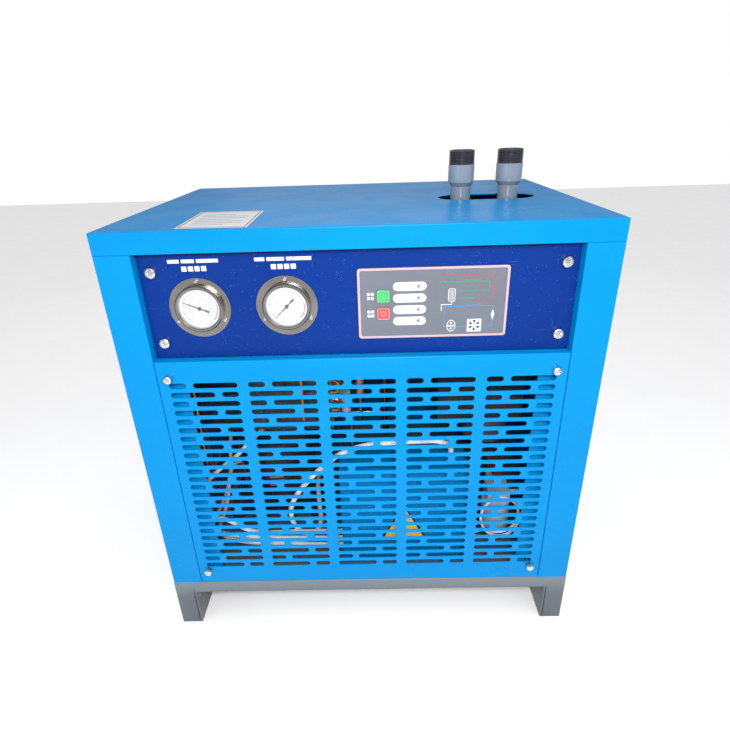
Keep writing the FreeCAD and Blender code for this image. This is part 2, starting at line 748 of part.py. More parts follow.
def make_gauge_screws():
    """Three cheese-head screws on each gauge flange."""
    screws = []
    for x in ("refrigerant_gauge_x", "air_gauge_x"):
        for index in range(3):
            lean = math.radians(90 + 120 * index)
            profile = [("0", "-8"), ("gauge_screw_radius", "-8"), ("gauge_screw_radius", "1.2"),
                       ("2.8", "1.2"), ("2.8", "2.4"), ("2.1", "3.2"), ("0", "3.2")]
            across = f"{x} + gauge_screw_circle * {math.cos(lean):.6f}"
            up = f"gauge_z + gauge_screw_circle * {math.sin(lean):.6f}"
            screws.append(turned(f"gauge_screw_{len(screws)}", profile, across, "-panel_front", up, "-y"))
    keep(group("gauge_screw_set", screws), "gauge_screws")


# ---------------------------------------------------------------- controller

def make_controller():
    """Face plate, housing behind the panel, two keys and four lamps."""
    body = new_body("controller_face")
    plate = sketch_on(body, "XZ_Plane", "controller_plate", "panel_front")
    rectangle(plate, "face_left", "face_bottom", "face_right", "face_top")
    pad(body, plate, "face_thickness")
    round_edges(body, "4", lambda edge: along(edge, V(0, 1, 0)))
    holes = sketch_on(body, "XZ_Plane", "controller_holes", "panel_front + face_thickness")
    half = "key_size / 2 + key_clearance"
    for height in ("start_key_z", "stop_key_z"):
        rectangle(holes, f"key_x - ({half})", f"{height} - ({half})",
                  f"key_x + ({half})", f"{height} + {half}")
    for index in range(4):
        circle(holes, "lamp_x", f"lamp_top_z - {index} * lamp_pitch", "lamp_radius + 0.1")
    pocket(body, holes, "2 * face_thickness")
    keep(body, "controller_face")

    wall = "2"
    outer = block("controller_box", ("face_left + 6", "-panel_front", "face_bottom + 6"),
                  ("face_right - 6", "-panel_front + 45", "face_top - 6"))
    inner = block("controller_room",
                  (f"face_left + 6 + {wall}", "-panel_front - 1", f"face_bottom + 6 + {wall}"),
                  (f"face_right - 6 - {wall}", f"-panel_front + 45 - {wall}", f"face_top - 6 - {wall}"))
    keep(cut("controller_shell", outer, [inner]), "controller_housing")

    cap_front = "-panel_front - face_thickness - 1.4"
    for label, height in (("start_key", "start_key_z"), ("stop_key", "stop_key_z")):
        cap = block(label + "_cap", ("key_x - key_size / 2", cap_front, f"{height} - key_size / 2"),
                    ("key_x + key_size / 2", "-panel_front + 0.5", f"{height} + key_size / 2"))
        rim = "key_size / 2 + 1"
        collar = block(label + "_collar", (f"key_x - ({rim})", "-panel_front + 0.3", f"{height} - ({rim})"),
                       (f"key_x + {rim}", "-panel_front + 1.5", f"{height} + {rim}"))
        keep(fuse(label + "_moulding", [cap, collar]), label)

    lamps = []
    for index in range(4):
        profile = [("0", "-5"), ("lamp_radius", "-5"), ("lamp_radius", "face_thickness + 0.3"),
                   ("lamp_radius - 0.6", "face_thickness + 0.9"), ("0", "face_thickness + 0.9")]
        level = f"lamp_top_z - {index} * lamp_pitch"
        lamps.append(turned(f"lamp_{index}", profile, "lamp_x", "-panel_front", level, "-y"))
    keep(group("lamp_set", lamps), "status_lamps")


# ---------------------------------------------------------------- electrical box

def make_electrical_box():
    """Sheet box with a screwed cover and a contactor inside; the supply gland sits on the rear panel."""
    outer = block("ebox_outer", ("box_left", "box_front + box_sheet", FLOOR),
                  ("box_right", "box_back", "box_top"))
    inner = block("ebox_inner", ("box_left + box_sheet", "box_front - box_sheet", f"{FLOOR} + box_sheet"),
                  ("box_right - box_sheet", "box_back - box_sheet", "box_top - box_sheet"))
    keep(cut("ebox_shell", outer, [inner]), "electrical_box")
    plate = block("ebox_plate", ("box_left", "box_front", FLOOR),
                  ("box_right", "box_front + box_sheet", "box_top"))
    corners = []
    for side in ("box_left + 10", "box_right - 10"):
        for height in (f"{FLOOR} + 10", "box_top - 10"):
            corners.append(rod(f"ebox_screw{len(corners)}", "3", "1.6", (side, "box_front", height), "-y"))
    keep(fuse("ebox_front", [plate] + corners), "electrical_box_cover")
    rail = "box_back - box_sheet"
    base = block("contactor_base", ("20", f"{rail} - 38", "175"), ("65", rail, "255"))
    top = block("contactor_top", ("24", f"{rail} - 50", "190"), ("61", f"{rail} - 38", "240"))
    keep(fuse("contactor_parts", [base, top]), "contactor")
    thread = "gland_thread_radius"
    gland = [("4.5", "-10"), (thread, "-10"), (thread, "0"), ("11", "0"), ("11", "5"), ("9.5", "7"),
             ("9.5", "18"), ("7.5", "21"), ("4.5", "21")]
    keep(turned("gland", gland, "gland_x", BACK, "gland_z", "+y"), "cable_gland")


# ---------------------------------------------------------------- compressor

def make_compressor():
    """Hermetic compressor: welded shell on a foot plate, rubber feet, pump unit sealed inside."""
    base = f"{FLOOR} + compressor_foot_height"
    low = f"{base} - 6"
    wall = "compressor_wall"
    radius = "compressor_radius"
    centre = ("compressor_x", "compressor_y")
    profile = [("0", "0"), (f"{radius} - 30", "2"), (f"{radius} - 8", "12"), (radius, "30"), (radius, "135"),
               (f"{radius} - 10", "158"), (f"{radius} - 34", "172"), ("0", "178"), ("0", f"178 - {wall}"),
               (f"{radius} - 36", f"172 - {wall}"), (f"{radius} - 13", "155"), (f"{radius} - {wall}", "134"),
               (f"{radius} - {wall}", "31"), (f"{radius} - 11", "15"), (f"{radius} - 32", "5.5"), ("0", wall)]
    shell = turned("compressor_can", profile, *centre, low)
    plate_low = ("compressor_x - compressor_foot_x - 16", "compressor_y - compressor_foot_y - 16", base)
    plate_high = ("compressor_x + compressor_foot_x + 16", "compressor_y + compressor_foot_y + 16",
                  f"{base} + 3")
    seat = rod("compressor_seat", f"{radius} - 23", "9", (*centre, f"{base} - 3"))
    plate = cut("compressor_plate", block("compressor_blank", plate_low, plate_high), [seat])
    terminal = block("compressor_terminal",
                     (f"compressor_x + {radius} - 8", "compressor_y - 24", f"{low} + 35"),
                     (f"compressor_x + {radius} + 22", "compressor_y + 24", f"{low} + 85"))
    room = rod("compressor_clear", f"{radius} - 1", "178", (*centre, low))
    box = cut("terminal_box", terminal, [room])
    keep(fuse("compressor_steel", [shell, plate, box]), "compressor_shell")
    keep(rod("pump_unit", f"{radius} - {wall} - 0.1", "78", (*centre, f"{low} + 42")), "compressor_pump")
    feet = []
    for x in ("-", "+"):
        for y in ("-", "+"):
            profile = [("0", "0"), ("15", "0"), ("15", "5"), ("11", "9"), ("13", "compressor_foot_height"),
                       ("0", "compressor_foot_height")]
            feet.append(turned(f"foot_{len(feet)}", profile, f"compressor_x {x} compressor_foot_x",
                               f"compressor_y {y} compressor_foot_y", FLOOR))
    keep(group("compressor_foot_set", feet), "compressor_feet")


# ---------------------------------------------------------------- condenser and fan

def make_condenser():
    """Fin block with copper return bends at both sides."""
    left = "coil_left + bend_reach"
    right = "coil_right - bend_reach"
    core = block("coil_core", (left, "coil_front", "coil_bottom"), (right, "coil_back", "coil_top"))
    bends = []
    for side, lean in ((left, -90), (right, 90)):
        for index in range(6):
            level = f"coil_bottom + 20 + ({2 * index} + 0.5) * tube_pitch"
            bend = doc.addObject("Part::Torus", f"bend_{len(bends)}")
            bind(bend, "Radius1", "tube_pitch / 2")
            bind(bend, "Radius2", "tube_radius")
            bend.Angle3 = 180
            upright = Turn(V(1, 0, 0), 90) * Turn(V(0, 0, 1), lean)
            bends.append(place(bend, side, "(coil_front + coil_back) / 2", level, upright))
    keep(fuse("coil_parts", [core] + bends), "condenser_coil")


def make_fan():
    """Shroud on two legs, motor on a hat bracket, shaft and five pitched blades."""
    left = "coil_left - 2"
    right = "coil_right + 2"
    back = "-6.5"
    tray = block("shroud_tray", (left, "coil_back", "coil_bottom - 2"), (right, back, "coil_top + 2"))
    room = block("shroud_room", (f"{left} + sheet", "coil_back - sheet", "coil_bottom - 2 + sheet"),
                 (f"{right} - sheet", f"{back} - sheet", "coil_top + 2 - sheet"))
    mouth = rod("shroud_mouth", "fan_hole_radius", "10", ("fan_x", f"{back} - 5", "fan_z"), "+y")
    legs = []
    for name, low, high in (("left", left, f"{left} + sheet"), ("right", f"{right} - sheet", right)):
        legs.append(block(f"shroud_{name}_leg", (low, "coil_back", FLOOR),
                          (high, back, "coil_bottom - 2 + sheet")))
    for name, low, high in (("left", left, f"{left} + 18"), ("right", f"{right} - 18", right)):
        legs.append(block(f"shroud_{name}_foot", (low, "coil_back", FLOOR),
                          (high, back, f"{FLOOR} + sheet")))
    keep(fuse("shroud_sheet", [cut("shroud_open", tray, [room, mouth])] + legs), "fan_shroud")

    arm = new_body("fan_motor_bracket")
    plan = sketch_on(arm, "XY_Plane", "bracket_plan", "fan_z - 12")
    rear = "motor_back"
    outline(plan, [("fan_x - 138", back), ("fan_x - 120", back), ("fan_x - 120", f"{back} + 3"),
                   ("fan_x - 135", f"{back} + 3"), ("fan_x - 135", rear), ("fan_x + 135", rear),
                   ("fan_x + 135", f"{back} + 3"), ("fan_x + 120", f"{back} + 3"), ("fan_x + 120", back),
                   ("fan_x + 138", back), ("fan_x + 138", f"{rear} + 3"), ("fan_x - 138", f"{rear} + 3")])
    pad(arm, plan, "24")
    keep(arm, "fan_motor_bracket")

    housing = [("fan_shaft_radius + 0.05", "0"), ("motor_radius - 8", "0"), ("motor_radius", "8"),
               ("motor_radius", "70"), ("motor_radius - 8", "motor_back - motor_front"),
               ("0", "motor_back - motor_front"), ("0", "62"), ("fan_shaft_radius + 0.05", "62")]
    keep(turned("motor_housing", housing, "fan_x", "motor_front", "fan_z", "+y"), "fan_motor")
    spindle = rod("fan_spindle", "fan_shaft_radius", "88", ("fan_x", "motor_front - 30", "fan_z"), "+y")
    keep(spindle, "fan_shaft")

    hub = rod("fan_hub", "hub_radius", "28", ("fan_x", "fan_middle_y - 14", "fan_z"), "+y")
    blades = [hub]
    thickness = 2
    for index in range(SIZES["blade_count"]):
        blade = doc.addObject("Part::Box", f"blade_{index}")
        blade.Height = thickness
        bind(blade, "Width", "blade_width")
        bind(blade, "Length", "fan_radius - hub_radius - 2")
        spin = Turn(V(0, 1, 0), index * 360 / SIZES["blade_count"])
        tilt = spin * Turn(V(1, 0, 0), 90 + SIZES["blade_pitch"])
        start = tilt.multVec(V(amount("hub_radius - 4"), -amount("blade_width") / 2, -thickness / 2))
        place(blade, f"fan_x + {start.x:.4f}", f"fan_middle_y + {start.y:.4f}",
              f"fan_z + {start.z:.4f}", tilt)
        blades.append(blade)
    wheel = fuse("fan_wheel", blades)
    bore = rod("fan_bore", "fan_shaft_radius", "60", ("fan_x", "-40", "fan_z"), "+y")
    keep(cut("fan_casting", wheel, [bore]), "fan_blades")


# ---------------------------------------------------------------- heat exchanger, pipes and drain

def make_exchanger():
    """Plate heat exchanger in a closed foam jacket."""
    low = ("jacket_left", "jacket_front", "jacket_bottom")
    high = ("jacket_right", "jacket_back", "jacket_top")
    inner_low = tuple(f"{side} + jacket_thickness" for side in low)
    inner_high = tuple(f"{side} - jacket_thickness" for side in high)
    jacket = block("jacket_outer", low, high)
    room = block("jacket_room", inner_low, inner_high)
    ports = []
    for index, x in enumerate(("inlet_x", "outlet_x")):
        start = (x, "pipe_y", "jacket_top - 2 * jacket_thickness")
        ports.append(rod(f"jacket_port{index}", "lower_pipe_radius", "3 * jacket_thickness", start))
    ports.append(rod("jacket_drain_port", "14", "3 * jacket_thickness",
                     ("drain_x", "pipe_y", "jacket_bottom - jacket_thickness")))
    keep(cut("jacket_foam", jacket, [room] + ports), "exchanger_jacket")
    keep(block("exchanger_block", inner_low, inner_high), "exchanger_core")


def make_air_pipes():
    """Air pipes that widen above the cover, with separate threaded ends."""
    start = "jacket_top - jacket_thickness"
    inner = "lower_pipe_radius - pipe_wall"
    upper = "upper_pipe_radius"
    bore = "upper_pipe_radius - pipe_wall"
    ends = []
    for label, x in (("air_inlet_pipe", "inlet_x"), ("air_outlet_pipe", "outlet_x")):
        profile = [(inner, start), ("lower_pipe_radius", start), ("lower_pipe_radius", "flare_start"),
                   (upper, "flare_end"), (upper, "thread_start"), (bore, "thread_start"),
                   (bore, "flare_end"), (inner, "flare_start")]
        keep(turned(label + "_tube", profile, x, "pipe_y"), label)
        thread = [(bore, "thread_start"), ("thread_radius", "thread_start"), ("thread_radius", "pipe_top - 1"),
                  ("thread_radius - 1", "pipe_top"), (bore, "pipe_top")]
        ends.append(turned(label + "_thread", thread, x, "pipe_y"))
    keep(group("threaded_end_set", ends), "threaded_ends")


def make_drain():
    """Water separator, isolating ball valve with its lever, float drain and outlet barb."""
    top = "jacket_bottom"
    can = "separator_radius"
    profile = [("0", "separator_bottom"), (f"{can} - 18", "separator_bottom"), (can, "separator_bottom + 18"),
               (can, f"{top} - 12"), (f"{can} - 8", top), ("0", top)]
    separator = turned("separator_can", profile, "drain_x", "pipe_y")
    neck = rod("separator_neck", "13.9", "jacket_thickness", ("drain_x", "pipe_y", top))
    drop = rod("separator_drop", "9", "separator_bottom - drain_z", ("drain_x", "pipe_y", "drain_z"))
    ball = doc.addObject("Part::Sphere", "separator_elbow")
    bind(ball, "Radius", "9")
    place(ball, "drain_x", "pipe_y", "drain_z")
    port = rod("separator_port", "9", "38", ("drain_x", "pipe_y", "drain_z"), "-y")
    keep(fuse("separator_parts", [separator, neck, drop, ball, port]), "water_separator")

    front = "pipe_y - 38"
    middle = f"{front} - 26"
    barrel = rod("valve_barrel", "13", "52", ("drain_x", front, "drain_z"), "-y")
    boss = rod("valve_boss", "7", "22", ("drain_x", middle, "drain_z"))
    stem = rod("valve_stem", "3.5", "34", ("drain_x", middle, "drain_z"))
    keep(fuse("valve_parts", [barrel, boss, stem]), "drain_valve")
    lever_low = "drain_z + 23"
    collar = rod("lever_collar", "8", "6", ("drain_x", middle, lever_low))
    blade = block("lever_blade", ("drain_x - 6", f"{middle} - lever_length", f"{lever_low} + 3"),
                  ("drain_x + 6", middle, f"{lever_low} + 6"))
    eye = rod("lever_eye", "3.55", "20", ("drain_x", middle, f"{lever_low} - 5"))
    keep(cut("lever_steel", fuse("lever_blank", [collar, blade]), [eye]), "drain_valve_lever")

    reach = f"{front} - 52"
    head = block("drain_head", ("drain_x - 20", "auto_drain_y - 20", "drain_z - 14"),
                 ("drain_x + 20", "auto_drain_y + 20", "drain_z + 14"))
    inlet = rod("drain_inlet", "9", f"({reach}) - (auto_drain_y + 20)", ("drain_x", reach, "drain_z"), "-y")
    radius = "auto_drain_radius"
    bowl = [("0", "130"), (f"{radius} - 10", "130"), (radius, "142"), (radius, "drain_z - 14"),
            ("0", "drain_z - 14")]
    cup = turned("drain_bowl", bowl, "drain_x", "auto_drain_y")
    keep(fuse("drain_parts", [head, inlet, cup]), "auto_drain")
    barb = [("3", "72"), ("4.5", "72"), ("5.4", "78"), ("4.5", "78"), ("5.4", "84"), ("4.5", "84"),
            ("5.4", "90"), ("4.5", "90"), ("4.5", "118"), ("8", "118"), ("8", "130"), ("3", "130")]
    keep(turned("outlet_barb", barb, "drain_x", "auto_drain_y"), "drain_outlet")


# ---------------------------------------------------------------- refrigerant lines and cables

def make_refrigerant_lines():
    """Filter drier and the three copper lines of the refrigerant circuit."""
    drier = [("0", "0"), ("4", "0"), ("4", "8"), ("11", "16"), ("11", "96"), ("4", "104"), ("4", "112"),
             ("0", "112")]
    keep(turned("drier_can", drier, "-8", "-76", "372"), "filter_drier")
    hot_side = "-298"
    routed("discharge_line", [[
        ("compressor_x - compressor_radius", "compressor_y", "236"),
        (hot_side, "compressor_y", "236"),
        (hot_side, "-128", "236"),
        (hot_side, "-128", "600"),
        (hot_side, "coil_front", "600"),
    ]], 4, 9)
    routed("liquid_line", [[
        ("coil_right - 80", "coil_front", "470"),
        ("coil_right - 80", "-118", "470"),
        ("coil_right - 80", "-118", "345"),
        ("-8", "-118", "345"),
        ("-8", "-76", "345"),
        ("-8", "-76", "372"),
    ], [
        ("-8", "-76", "484"),
        ("-8", "-76", "520"),
        ("70", "-76", "520"),
        ("70", "-50", "520"),
        ("jacket_left", "-50", "520"),
    ]], 3, 8)
    routed("suction_line", [[
        ("jacket_left", "20", "380"),
        ("40", "20", "380"),
        ("40", "20", "236"),
        ("40", "110", "236"),
        ("compressor_x", "110", "236"),
        ("compressor_x", "compressor_y + compressor_radius", "236"),
    ]], 6, 14)


def make_cables():
    """White sheathed cables between the electrical box, the compressor, the fan and the drain."""
    routed("box_cable", [[
        ("148", "-176", "box_top"),
        ("148", "-176", "box_top + 24"),
        ("124", "-180", "box_top + 37"),
        ("62", "-183", "box_top + 38"),
        ("2", "-185", "box_top + 35"),
        ("-44", "-186", "box_top + 19"),
        ("-86", "-187", "box_top - 18"),
        ("-118", "-187", "box_top - 56"),
        ("-138", "-185", "216"),
        ("-140", "-182", "176"),
        ("-124", "-178", "144"),
        ("-102", "-158", "124"),
        ("-92", "-128", "126"),
        ("-98", "-98", "146"),
        ("-102", "-70", "174"),
        ("-102", "compressor_y - 24", "174"),
    ]], 4.5)
    routed("floor_cables", [[
        ("fan_x", "50", "fan_z - motor_radius"),
        ("fan_x", "50", "406"),
        ("-200", "51", "366"),
        ("-248", "52", "330"),
        ("-290", "50", "276"),
        ("-306", "46", "206"),
        ("-308", "28", "142"),
        ("-309", "-24", "113"),
        ("-309", "-84", "122"),
        ("-308", "-140", "140"),
        ("-284", "-176", "148"),
        ("-236", "-188", "148"),
        ("-150", "-191", "145"),
        ("-80", "-190", "143"),
        ("box_left", "-190", "143"),
    ], [
        ("compressor_x - compressor_radius", "compressor_y", "190"),
        ("-282", "compressor_y", "190"),
        ("-297", "-18", "166"),
        ("-299", "-44", "122"),
        ("-299", "-92", "111"),
        ("-296", "-140", "122"),
        ("-272", "-172", "130"),
        ("-226", "-186", "131"),
        ("-150", "-189", "129"),
        ("-80", "-190", "127"),
        ("box_left", "-190", "127"),
    ], [
        ("compressor_x", "compressor_y", "compressor_top"),
        ("compressor_x", "compressor_y", "compressor_top + 17"),
        ("-188", "-44", "312"),
        ("-205", "-96", "311"),
        ("-222", "-126", "305"),
        ("-240", "-132", "287"),
        ("-274", "-140", "264"),
        ("-303", "-156", "240"),
        ("-308", "-178", "214"),
        ("-290", "-189", "199"),
        ("-256", "-190", "191"),
        ("-236", "-190", "175"),
        ("-216", "-191", "163"),
        ("-188", "-191", "159"),
        ("-140", "-191", "160"),
        ("-90", "-190", "159"),
        ("box_left", "-190", "159"),
    ]], 4)
    loop = []
    steps = 13
    for index in range(steps):
        turn = math.radians(230 + 40 * index)
        across = f"drain_x - 2 + {36 * math.cos(turn):.3f}"
        up = f"190 + {44 * math.sin(turn):.3f}"
        loop.append((across, f"-188 - {index}", up))
    start = [("box_right", "-184", "143"), ("190", "-184", "143")]
    finish = [("284", "-188", "240"), ("291", "-162", "222"), ("278", "auto_drain_y", "212"),
              ("drain_x + 20", "auto_drain_y", "212")]
    routed("sensor_cable", [start + loop + finish], 2.4)


make_skid("left_skid", f"-({SIDE})", f"-({SIDE}) + skid_width")
make_skid("right_skid", f"{SIDE} - skid_width", SIDE)
make_beam("front_beam", FRONT, "+")
make_beam("rear_beam", BACK, "-")
make_base_pan()
make_side_panel("left_side_panel", "-")
make_side_panel("right_side_panel", "")
make_rear_panel()
make_top_cover()
make_control_panel()
make_front_grille()
make_front_screws("control_panel_screws", "-panel_front", "20", ("panel_screw_top", "panel_screw_bottom"),
                  "panel_head_radius", "panel_head_height")
make_front_screws("grille_screws", FRONT, "28", ("grille_screw_top", "grille_screw_bottom"),
                  "grille_head_radius", "grille_head_height")
make_rear_screws()
make_gauge("refrigerant_gauge", "refrigerant_gauge_x", amount("refrigerant_needle_angle"))
make_gauge("air_gauge", "air_gauge_x", 0)
make_gauge_screws()
make_controller()
make_electrical_box()
make_compressor()
make_condenser()
make_fan()
make_exchanger()
make_air_pipes()
make_drain()
make_refrigerant_lines()
make_cables()

# ---------------------------------------------------------------- check and write

doc.recompute()
for item in doc.Objects:
    if "Invalid" in item.State or "Error" in item.State:
        raise RuntimeError(f"{item.Label} did not build: {item.State}")
for label, item in SUBPARTS.items():
    shape = item.Shape
    if shape.isNull() or not shape.isValid() or shape.Volume <= 0:
        raise RuntimeError(f"{label} has no valid solid")

os.makedirs("parts", exist_ok=True)
for label, item in SUBPARTS.items():
    item.Shape.exportStep(os.path.join("parts", label + ".step"))
print(len(SUBPARTS), "sub-parts written")
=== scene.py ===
"""Looks of the refrigerated air dryer: materials, printed artwork, fins, threads and fittings.

Lengths are in metres in the row frame: +X right, front faces -Y, +Z up, floor at z = 0.
"""

import json
import math
import random

import bmesh
import bpy
from mathutils import Matrix, Vector


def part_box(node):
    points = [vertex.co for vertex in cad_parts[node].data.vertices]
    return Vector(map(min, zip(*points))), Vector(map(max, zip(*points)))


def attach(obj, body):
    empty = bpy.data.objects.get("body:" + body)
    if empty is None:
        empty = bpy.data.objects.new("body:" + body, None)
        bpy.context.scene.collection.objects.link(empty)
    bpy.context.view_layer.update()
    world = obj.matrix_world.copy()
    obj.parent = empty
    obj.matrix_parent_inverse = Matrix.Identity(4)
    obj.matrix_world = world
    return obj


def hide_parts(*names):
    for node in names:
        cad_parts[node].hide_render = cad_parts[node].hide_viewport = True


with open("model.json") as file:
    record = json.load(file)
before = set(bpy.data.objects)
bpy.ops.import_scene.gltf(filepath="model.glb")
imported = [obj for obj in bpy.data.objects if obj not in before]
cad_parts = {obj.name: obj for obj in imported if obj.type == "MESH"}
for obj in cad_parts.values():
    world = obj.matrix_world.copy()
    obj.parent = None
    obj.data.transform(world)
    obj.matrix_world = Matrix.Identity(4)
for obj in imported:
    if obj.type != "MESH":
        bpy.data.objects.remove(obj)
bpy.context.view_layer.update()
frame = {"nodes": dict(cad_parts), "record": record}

MM = 0.001
CABINET = "cabinet"
PAINT_GRAIN = 420.0                     # orange-peel waves per metre
PAINT_PEEL = 0.00004                    # depth of the orange peel
PRINT_SKIN = 0.06                       # thickness of dial print, in millimetres
PANEL_HEAD = 0.0082                     # head radius of the control panel's screws
GRILLE_HEAD = 0.0066                    # head radius of the grille's screws


# ---------------------------------------------------------------- camera, floor and light

def make_camera():
    """Wide view from just above the lid, looking 25 degrees down at the front."""
    eye = (0.0201, -0.9285, 0.8394)
    turn, down, lean = 0.0209, 0.4367, -0.0327
    data = bpy.data.cameras.new("camera")
    data.sensor_width = 36.0
    data.lens = 25.64
    camera = bpy.data.objects.new("camera", data)
    bpy.context.scene.collection.objects.link(camera)
    yaw = Matrix.Rotation(turn, 4, "Z")
    pitch = Matrix.Rotation(math.pi / 2 - down, 4, "X")
    roll = Matrix.Rotation(lean, 4, "Z")
    camera.matrix_world = Matrix.Translation(eye) @ yaw @ pitch @ roll
    bpy.context.scene.camera = camera


def area_light(name, place, target, size, power):
    """White rectangular lamp of a size in metres and a power in watts, turned towards a target."""
    data = bpy.data.lights.new(name, "AREA")
    data.shape = "RECTANGLE"
    data.size, data.size_y = size
    data.energy = power
    lamp = bpy.data.objects.new(name, data)
    bpy.context.scene.collection.objects.link(lamp)
    lamp.location = place
    lamp.rotation_euler = (Vector(target) - Vector(place)).to_track_quat("-Z", "Y").to_euler()


def make_backdrop():
    """White surroundings, brightest to the camera, softer where they light and softest in reflections."""
    in_reflections, more_as_light, more_to_camera = 0.38, 0.45, 0.62
    world = bpy.data.worlds.new("studio")
    world.use_nodes = True
    tree = world.node_tree
    backdrop = tree.nodes["Background"]
    backdrop.inputs["Color"].default_value = (1, 1, 1, 1)
    rays = tree.nodes.new("ShaderNodeLightPath")
    steps = []
    for output, share in (("Is Diffuse Ray", more_as_light), ("Is Camera Ray", more_to_camera)):
        step = tree.nodes.new("ShaderNodeMath")
        step.operation = "MULTIPLY_ADD"
        step.inputs[1].default_value = share
        tree.links.new(rays.outputs[output], step.inputs[0])
        steps.append(step)
    first, second = steps
    first.inputs[2].default_value = in_reflections
    tree.links.new(first.outputs["Value"], second.inputs[2])
    tree.links.new(second.outputs["Value"], backdrop.inputs["Strength"])
    bpy.context.scene.world = world
    bpy.context.scene.view_settings.view_transform = "Standard"


def make_studio():
    """Backdrop, white floor, a soft flash above the camera, a key, a fill and a back light."""
    make_backdrop()
    area_light("flash", (0.06, -1.18, 1.12), (0.0, -0.2, 0.42), (0.25, 0.25), 17)
    area_light("key", (1.1, -1.6, 1.9), (0.05, -0.1, 0.4), (0.9, 0.9), 4)
    area_light("fill", (-1.5, -1.7, 0.9), (0, -0.1, 0.35), (1.2, 1.2), 3)
    area_light("back", (0.0, 1.9, 1.6), (0, 0, 0.4), (1.6, 1.2), 2.5)
    mesh = bpy.data.meshes.new("floor")
    half = 6.0
    corners = [(-half, -half, 0), (half, -half, 0), (half, half, 0), (-half, half, 0)]
    mesh.from_pydata(corners, [], [(0, 1, 2, 3)])
    floor = bpy.data.objects.new("floor", mesh)
    bpy.context.scene.collection.objects.link(floor)
    mesh.materials.append(painted("floor_white", (0.95, 0.95, 0.95), roughness=0.8, variation=0.01, peel=0.0))


# ---------------------------------------------------------------- materials

def shader(name):
    """New node material with its Principled shader and a node-making helper."""
    material = bpy.data.materials.new(name)
    material.use_nodes = True
    tree = material.node_tree
    principled = tree.nodes["Principled BSDF"]

    def add(kind, **inputs):
        node = tree.nodes.new(kind)
        for key, value in inputs.items():
            node.inputs[key.replace("_", " ")].default_value = value
        return node

    return material, tree.links, principled, add


def shade(colour, factor):
    """Colour made darker or lighter, with full alpha."""
    return tuple(min(1.0, channel * factor) for channel in colour) + (1.0,)


def ranged(links, add, source, before, after):
    """Map a value from one (low, high) span to another and hold it at the ends."""
    spread = add("ShaderNodeMapRange")
    for name, value in zip(("From Min", "From Max", "To Min", "To Max"), before + after):
        spread.inputs[name].default_value = value
    links.new(source, spread.inputs["Value"])
    return spread.outputs["Result"]


def computed(links, add, kind, first, second):
    """Math node on two values, each a number or another node's output."""
    node = add("ShaderNodeMath")
    node.operation = kind
    for socket, value in zip(node.inputs, (first, second)):
        if isinstance(value, float):
            socket.default_value = value
        else:
            links.new(value, socket)
    return node.outputs["Value"]


def tinted(links, add, principled, under, share, colour):
    """Base colour with another colour blended over it by a share."""
    mix = add("ShaderNodeMixRGB")
    mix.inputs["Color2"].default_value = colour
    links.new(share, mix.inputs["Fac"])
    links.new(under, mix.inputs["Color1"])
    links.new(mix.outputs["Color"], principled.inputs["Base Color"])


def raised(links, add, principled, source, height, strength=1.0):
    """Relief from a pattern: height is its full swing in metres."""
    bump = add("ShaderNodeBump", Strength=strength, Distance=height)
    links.new(source, bump.inputs["Height"])
    links.new(bump.outputs["Normal"], principled.inputs["Normal"])


def mottled(links, add, colour, variation, scale, stretch=(1, 1, 1)):
    """Noise-driven blend between a darker and a lighter tone of one colour."""
    where = add("ShaderNodeTexCoord")
    mapping = add("ShaderNodeMapping")
    mapping.inputs["Scale"].default_value = stretch
    links.new(where.outputs["Object"], mapping.inputs["Vector"])
    noise = add("ShaderNodeTexNoise", Scale=scale, Detail=5.0, Roughness=0.6)
    links.new(mapping.outputs["Vector"], noise.inputs["Vector"])
    ramp = add("ShaderNodeValToRGB")
    ramp.color_ramp.elements[0].position = 0.3
    ramp.color_ramp.elements[1].position = 0.7
    ramp.color_ramp.elements[0].color = shade(colour, 1 - variation)
    ramp.color_ramp.elements[1].color = shade(colour, 1 + variation)
    links.new(noise.outputs["Fac"], ramp.inputs["Fac"])
    return mapping, ramp


def roughened(links, add, principled, mapping, low, high, scale):
    """Roughness that wanders between two values."""
    noise = add("ShaderNodeTexNoise", Scale=scale, Detail=4.0)
    links.new(mapping.outputs["Vector"], noise.inputs["Vector"])
    links.new(ranged(links, add, noise.outputs["Fac"], (0.3, 0.7), (low, high)), principled.inputs["Roughness"])


def bumped(links, add, principled, mapping, scale, height):
    """Fine relief from noise."""
    noise = add("ShaderNodeTexNoise", Scale=scale, Detail=2.0)
    links.new(mapping.outputs["Vector"], noise.inputs["Vector"])
    raised(links, add, principled, noise.outputs["Fac"], height)


def worn(links, add, ramp, principled, colour, amount):
    """Lighter tone along sharp edges, from the mesh's pointiness."""
    geometry = add("ShaderNodeNewGeometry")
    edge = ranged(links, add, geometry.outputs["Pointiness"], (0.52, 0.60), (0.0, amount))
    tinted(links, add, principled, ramp.outputs["Color"], edge, shade(colour, 1.9))


def darkened_low(links, add, principled, amount):
    """Painted shade: paint that darkens towards the floor, standing in for the shade that falls low on the base.
    """
    where = add("ShaderNodeTexCoord")
    height = add("ShaderNodeSeparateXYZ")
    links.new(where.outputs["Object"], height.inputs["Vector"])
    unshaded_above, shaded_below = 0.092, 0.060
    low = ranged(links, add, height.outputs["Z"], (unshaded_above, shaded_below), (0.0, amount))
    paint = principled.inputs["Base Color"].links[0].from_socket
    # painted shade: a near-black tone blended in towards the floor
    tinted(links, add, principled, paint, low, (0.030, 0.038, 0.050, 1))


